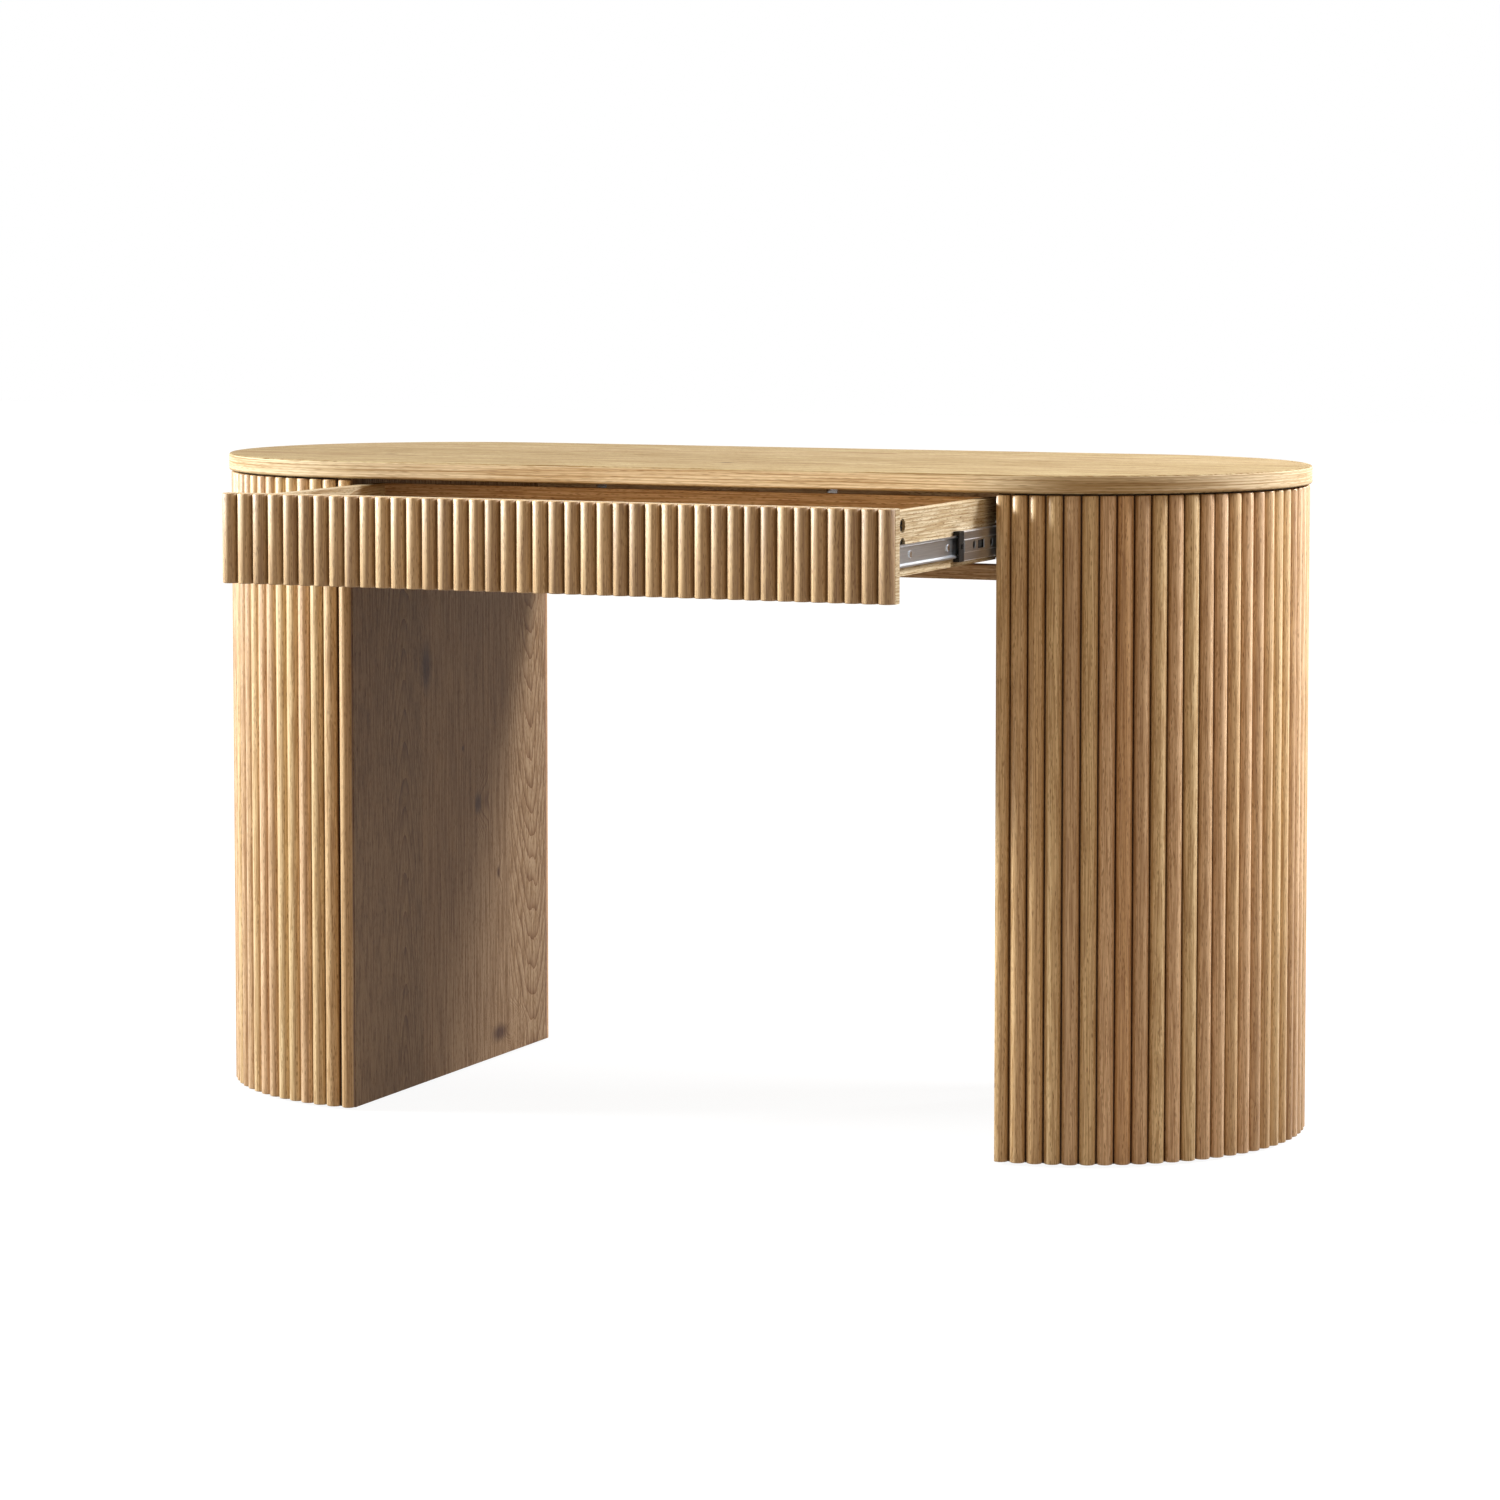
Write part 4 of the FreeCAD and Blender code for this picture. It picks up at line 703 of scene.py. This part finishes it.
half_turn = (Matrix.Translation((0, OVAL_Y, 0)) @ Matrix.Rotation(math.pi, 4, "Z")
             @ Matrix.Translation((0, -OVAL_Y, 0)))
for side, places, hand, seed in (
    ("right", fan, 1, RIGHT_SEED),
    ("left", [half_turn @ place for place in planed_fan], -1, LEFT_SEED),
):
    corner = ((hand * END_X, 0, 0), (hand, 0, 0))
    reeds = clad(f"{side}_reeds", tall_reed, places, seed, pedestal_oak, corner)
    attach(reeds, "carcass")
    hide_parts(f"{side}_slats")
bpy.data.objects.remove(tall_reed)

# %% [markdown]
# ## The drawer front
# The drawer's front board carries a row of short reeds, side by side from end to end. They have the same
# section as those of the pedestals, so the same function shapes one, and the board's width divided by their
# number gives the pitch.

# %% Clad the drawer front
DRAWER_REEDS = 42
DRAWER_SEED = 37
low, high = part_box("drawer_front_slats")
board_low, board_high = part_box("drawer_front_board")
short_reed = half_round("drawer_reed", low.z, high.z)
pitch = (board_high.x - board_low.x) / DRAWER_REEDS
row = [Matrix.Translation((board_low.x + pitch * (n + 0.5), board_low.y, 0)) for n in range(DRAWER_REEDS)]
reeds = clad("drawer_reeds", short_reed, row, DRAWER_SEED, drawer_oak)
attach(reeds, "drawer")
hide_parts("drawer_front_slats")
bpy.data.objects.remove(short_reed)

# %% [markdown]
# ## Rolled and plated steel
# The slides are cold-rolled steel sheet with a bright zinc plating. The plating is smooth, and the rolled
# sheet under it leaves faint lines along its length, which stretch the reflections. The bent flanges have a
# painted highlight: a brighter colour than the web. The web faces sideways, along x, so the normal tells the
# flanges from it. An anisotropic shader could stretch the reflections too, but noise drawn out along y is
# simpler.

# %% Plate the steel
# Real rolling lines are about 0.1 mm apart, and are drawn several times coarser so that they show.
ROLLING_MM, TURNING_MM = 0.8, 0.6
LINE_LENGTH = 60
LINE_ROUGHER = 0.15
WEB_FROM = 0.9


def plated(name, bright, dull, rough, line_mm, flange_painted_highlight=None):
    """Plated steel with lines along y of that spacing, and a painted highlight of that colour on the flanges
    if one is given.
    """
    finish, tree, shader = finish_named(name)
    line = line_mm * MM
    per_line = (1 / line, 1 / (LINE_LENGTH * line), 1 / line)
    place = put(tree, "ShaderNodeTexCoord").outputs["Object"]
    drawn_out = put(tree, "ShaderNodeVectorMath", {0: place, 1: per_line}, operation="MULTIPLY").outputs[0]
    lines = put(tree, "ShaderNodeTexNoise", {"Vector": drawn_out, "Scale": 1, "Detail": 2}).outputs[0]
    colour = put(tree, "ShaderNodeMix", {0: lines, 6: paint(bright), 7: paint(dull)},
                 data_type="RGBA").outputs[2]
    # The flanges, told from the web by the normal, get a brighter colour: a painted highlight.
    if flange_painted_highlight:
        normal = put(tree, "ShaderNodeTexCoord").outputs["Normal"]
        facing = put(tree, "ShaderNodeSeparateXYZ", {0: normal}).outputs["X"]
        sideways = put(tree, "ShaderNodeMath", {0: facing}, operation="ABSOLUTE").outputs[0]
        flange_highlight_mask = put(tree, "ShaderNodeMath", {0: sideways, 1: WEB_FROM}, operation="LESS_THAN").outputs[0]
        colour = put(tree, "ShaderNodeMix", {0: flange_highlight_mask, 6: colour, 7: paint(flange_painted_highlight)},
                     data_type="RGBA").outputs[2]
    tree.links.new(colour, shader.inputs["Base Color"])
    shader.inputs["Metallic"].default_value = 1
    haze = put(tree, "ShaderNodeMapRange", {"Value": lines, 3: rough, 4: rough + LINE_ROUGHER})
    tree.links.new(haze.outputs[0], shader.inputs["Roughness"])
    return finish


# Bright zinc on rolled steel: a cool grey web with faint lines along it, between flanges with a painted
# highlight.
slide_zinc = plated("zinc_plated_rolled_steel", "#CED0D2", "#9C9EA0", rough=0.26, line_mm=ROLLING_MM,
                    flange_painted_highlight="#F6F8FA")
# Steel under grease: the ball cages are almost black between the bright members.
greased_steel = plated("greased_steel_ball_cages", "#4A4A48", "#343432", rough=0.4, line_mm=ROLLING_MM)
# Turned and plated fittings: small, sharp, bright glints.
fitting_zinc = plated("zinc_plated_turned_fittings", "#F2F3F4", "#C0C2C4", rough=0.16, line_mm=TURNING_MM)
# Zinc darkened as painted shade: the drawer's cams, deep in their bores, are dull dark dots.
cam_zinc_painted_shade = plated("cam_zinc_darkened_as_painted_shade", "#3A3836", "#24211F", rough=0.4, line_mm=TURNING_MM)
print("four metals plated")

# %% [markdown]
# ## Moulded plastic and fibreboard
# The slide stops and the glides are moulded in tools with a fine spark-eroded grain, which breaks up their
# shine. The fibreboard of the formers is made of fine sanded fibres. A plain colour would look like a toy, so
# both kinds get the same fine grit, in their colour, their roughness and their bump.

# %% Mould the plastics
# Real grit is under 0.1 mm across, and is drawn coarser so that it shows.
MOULD_GRIT_MM, SANDED_GRIT_MM = 0.5, 0.9
GRIT_SHADE = "#2A2622"
GRIT_ROUGHER = 0.2
GRIT_BUMP = {"Strength": 0.2, "Distance": 0.1 * MM}


def gritty(name, code, rough, grit_mm, shine=0.5):
    """A dull surface with fine darker grit of that size."""
    finish, tree, shader = finish_named(name)
    place = put(tree, "ShaderNodeTexCoord").outputs["Object"]
    grit = put(tree, "ShaderNodeTexNoise",
               {"Vector": place, "Scale": 1 / (grit_mm * MM), "Detail": 2}).outputs[0]
    colour = put(tree, "ShaderNodeMix", {0: grit, 6: paint(code), 7: paint(GRIT_SHADE)}, data_type="RGBA")
    tree.links.new(colour.outputs[2], shader.inputs["Base Color"])
    haze = put(tree, "ShaderNodeMapRange", {"Value": grit, 3: rough, 4: rough + GRIT_ROUGHER})
    tree.links.new(haze.outputs[0], shader.inputs["Roughness"])
    bump = put(tree, "ShaderNodeBump", {"Height": grit, **GRIT_BUMP})
    tree.links.new(bump.outputs[0], shader.inputs["Normal"])
    shader.inputs["Specular IOR Level"].default_value = shine
    return finish


# Acetal moulded in a grained tool: deep black with a weak, broken shine.
black_acetal = gritty("moulded_black_acetal", "#060505", rough=0.5, grit_mm=MOULD_GRIT_MM, shine=0.15)
# Polythene moulded the same way: a waxy brown.
brown_polythene = gritty("moulded_brown_polythene", "#5A4632", rough=0.45, grit_mm=MOULD_GRIT_MM)
# Sanded fibreboard: an even, dull brown with no grain.
fibreboard = gritty("sanded_fibreboard", "#A98458", rough=0.7, grit_mm=SANDED_GRIT_MM)
print("two plastics and fibreboard mixed")

# %% [markdown]
# ## Hidden wood, and who gets which finish
# Beech dowels and the bent plywood behind the reeds hardly show, but they still have grain, and the function
# for boards gives it to them. Every node of the CAD model is then matched by a word in its name. The first
# match counts, so that the cams of the drawer come before the other cams.

# %% Give out the finishes
PLAIN_STRIPS = ((-800, 0, 90, 0.01, 0.3), (0, 300, 120, 0.01, 0.7))
PLAIN_GROWTH = Growth(spacing=5, wander=20, coarse=1, dark=0.5)
BEECH_TONES = ("#D9B48A", "#D2AB80", "#DBB98F")
PLYWOOD_PAINTED_SHADE_TONES = ("#4A3A2A", "#403020", "#52402E")
# Turned beech: pale and close-grained, a little pink.
beech = board("turned_beech_dowels", "XYZ", 0, PLAIN_STRIPS, BEECH_TONES, PLAIN_GROWTH)
# Bent plywood darkened as painted shade: it makes the joints between the reeds look deep.
plywood = board("bent_plywood_darkened_as_painted_shade", "XYZ", 0, PLAIN_STRIPS, PLYWOOD_PAINTED_SHADE_TONES, PLAIN_GROWTH)
FINISH_BY_WORD = (
    (slide_zinc, ("cabinet_slide", "middle_slide", "drawer_slide")),
    (greased_steel, ("retainer",)),
    (black_acetal, ("stop",)),
    (brown_polythene, ("glides",)),
    (cam_zinc_painted_shade, ("drawer_left_cams", "drawer_right_cams")),
    (fitting_zinc, ("screws", "cams", "cam_dowels")),
    (beech, ("dowels",)),
    (plywood, ("backing",)),
    (fibreboard, ("former",)),
)
given = 0
for name, node in nodes.items():
    for finish, words in FINISH_BY_WORD:
        if any(word in name for word in words):
            node.material_slots[0].material = finish
            given += 1
            break
print(f"{given} nodes of steel, plastic and hidden wood finished")

# %% [markdown]
# ## Sizes
# The box round everything that is drawn, the floor left out, is printed. The dressed desk has
# to stay inside the box of the CAD desk.

# %% Print the visual box
low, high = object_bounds()
print("visual box", [round(v, 4) for v in (*low, *high)])
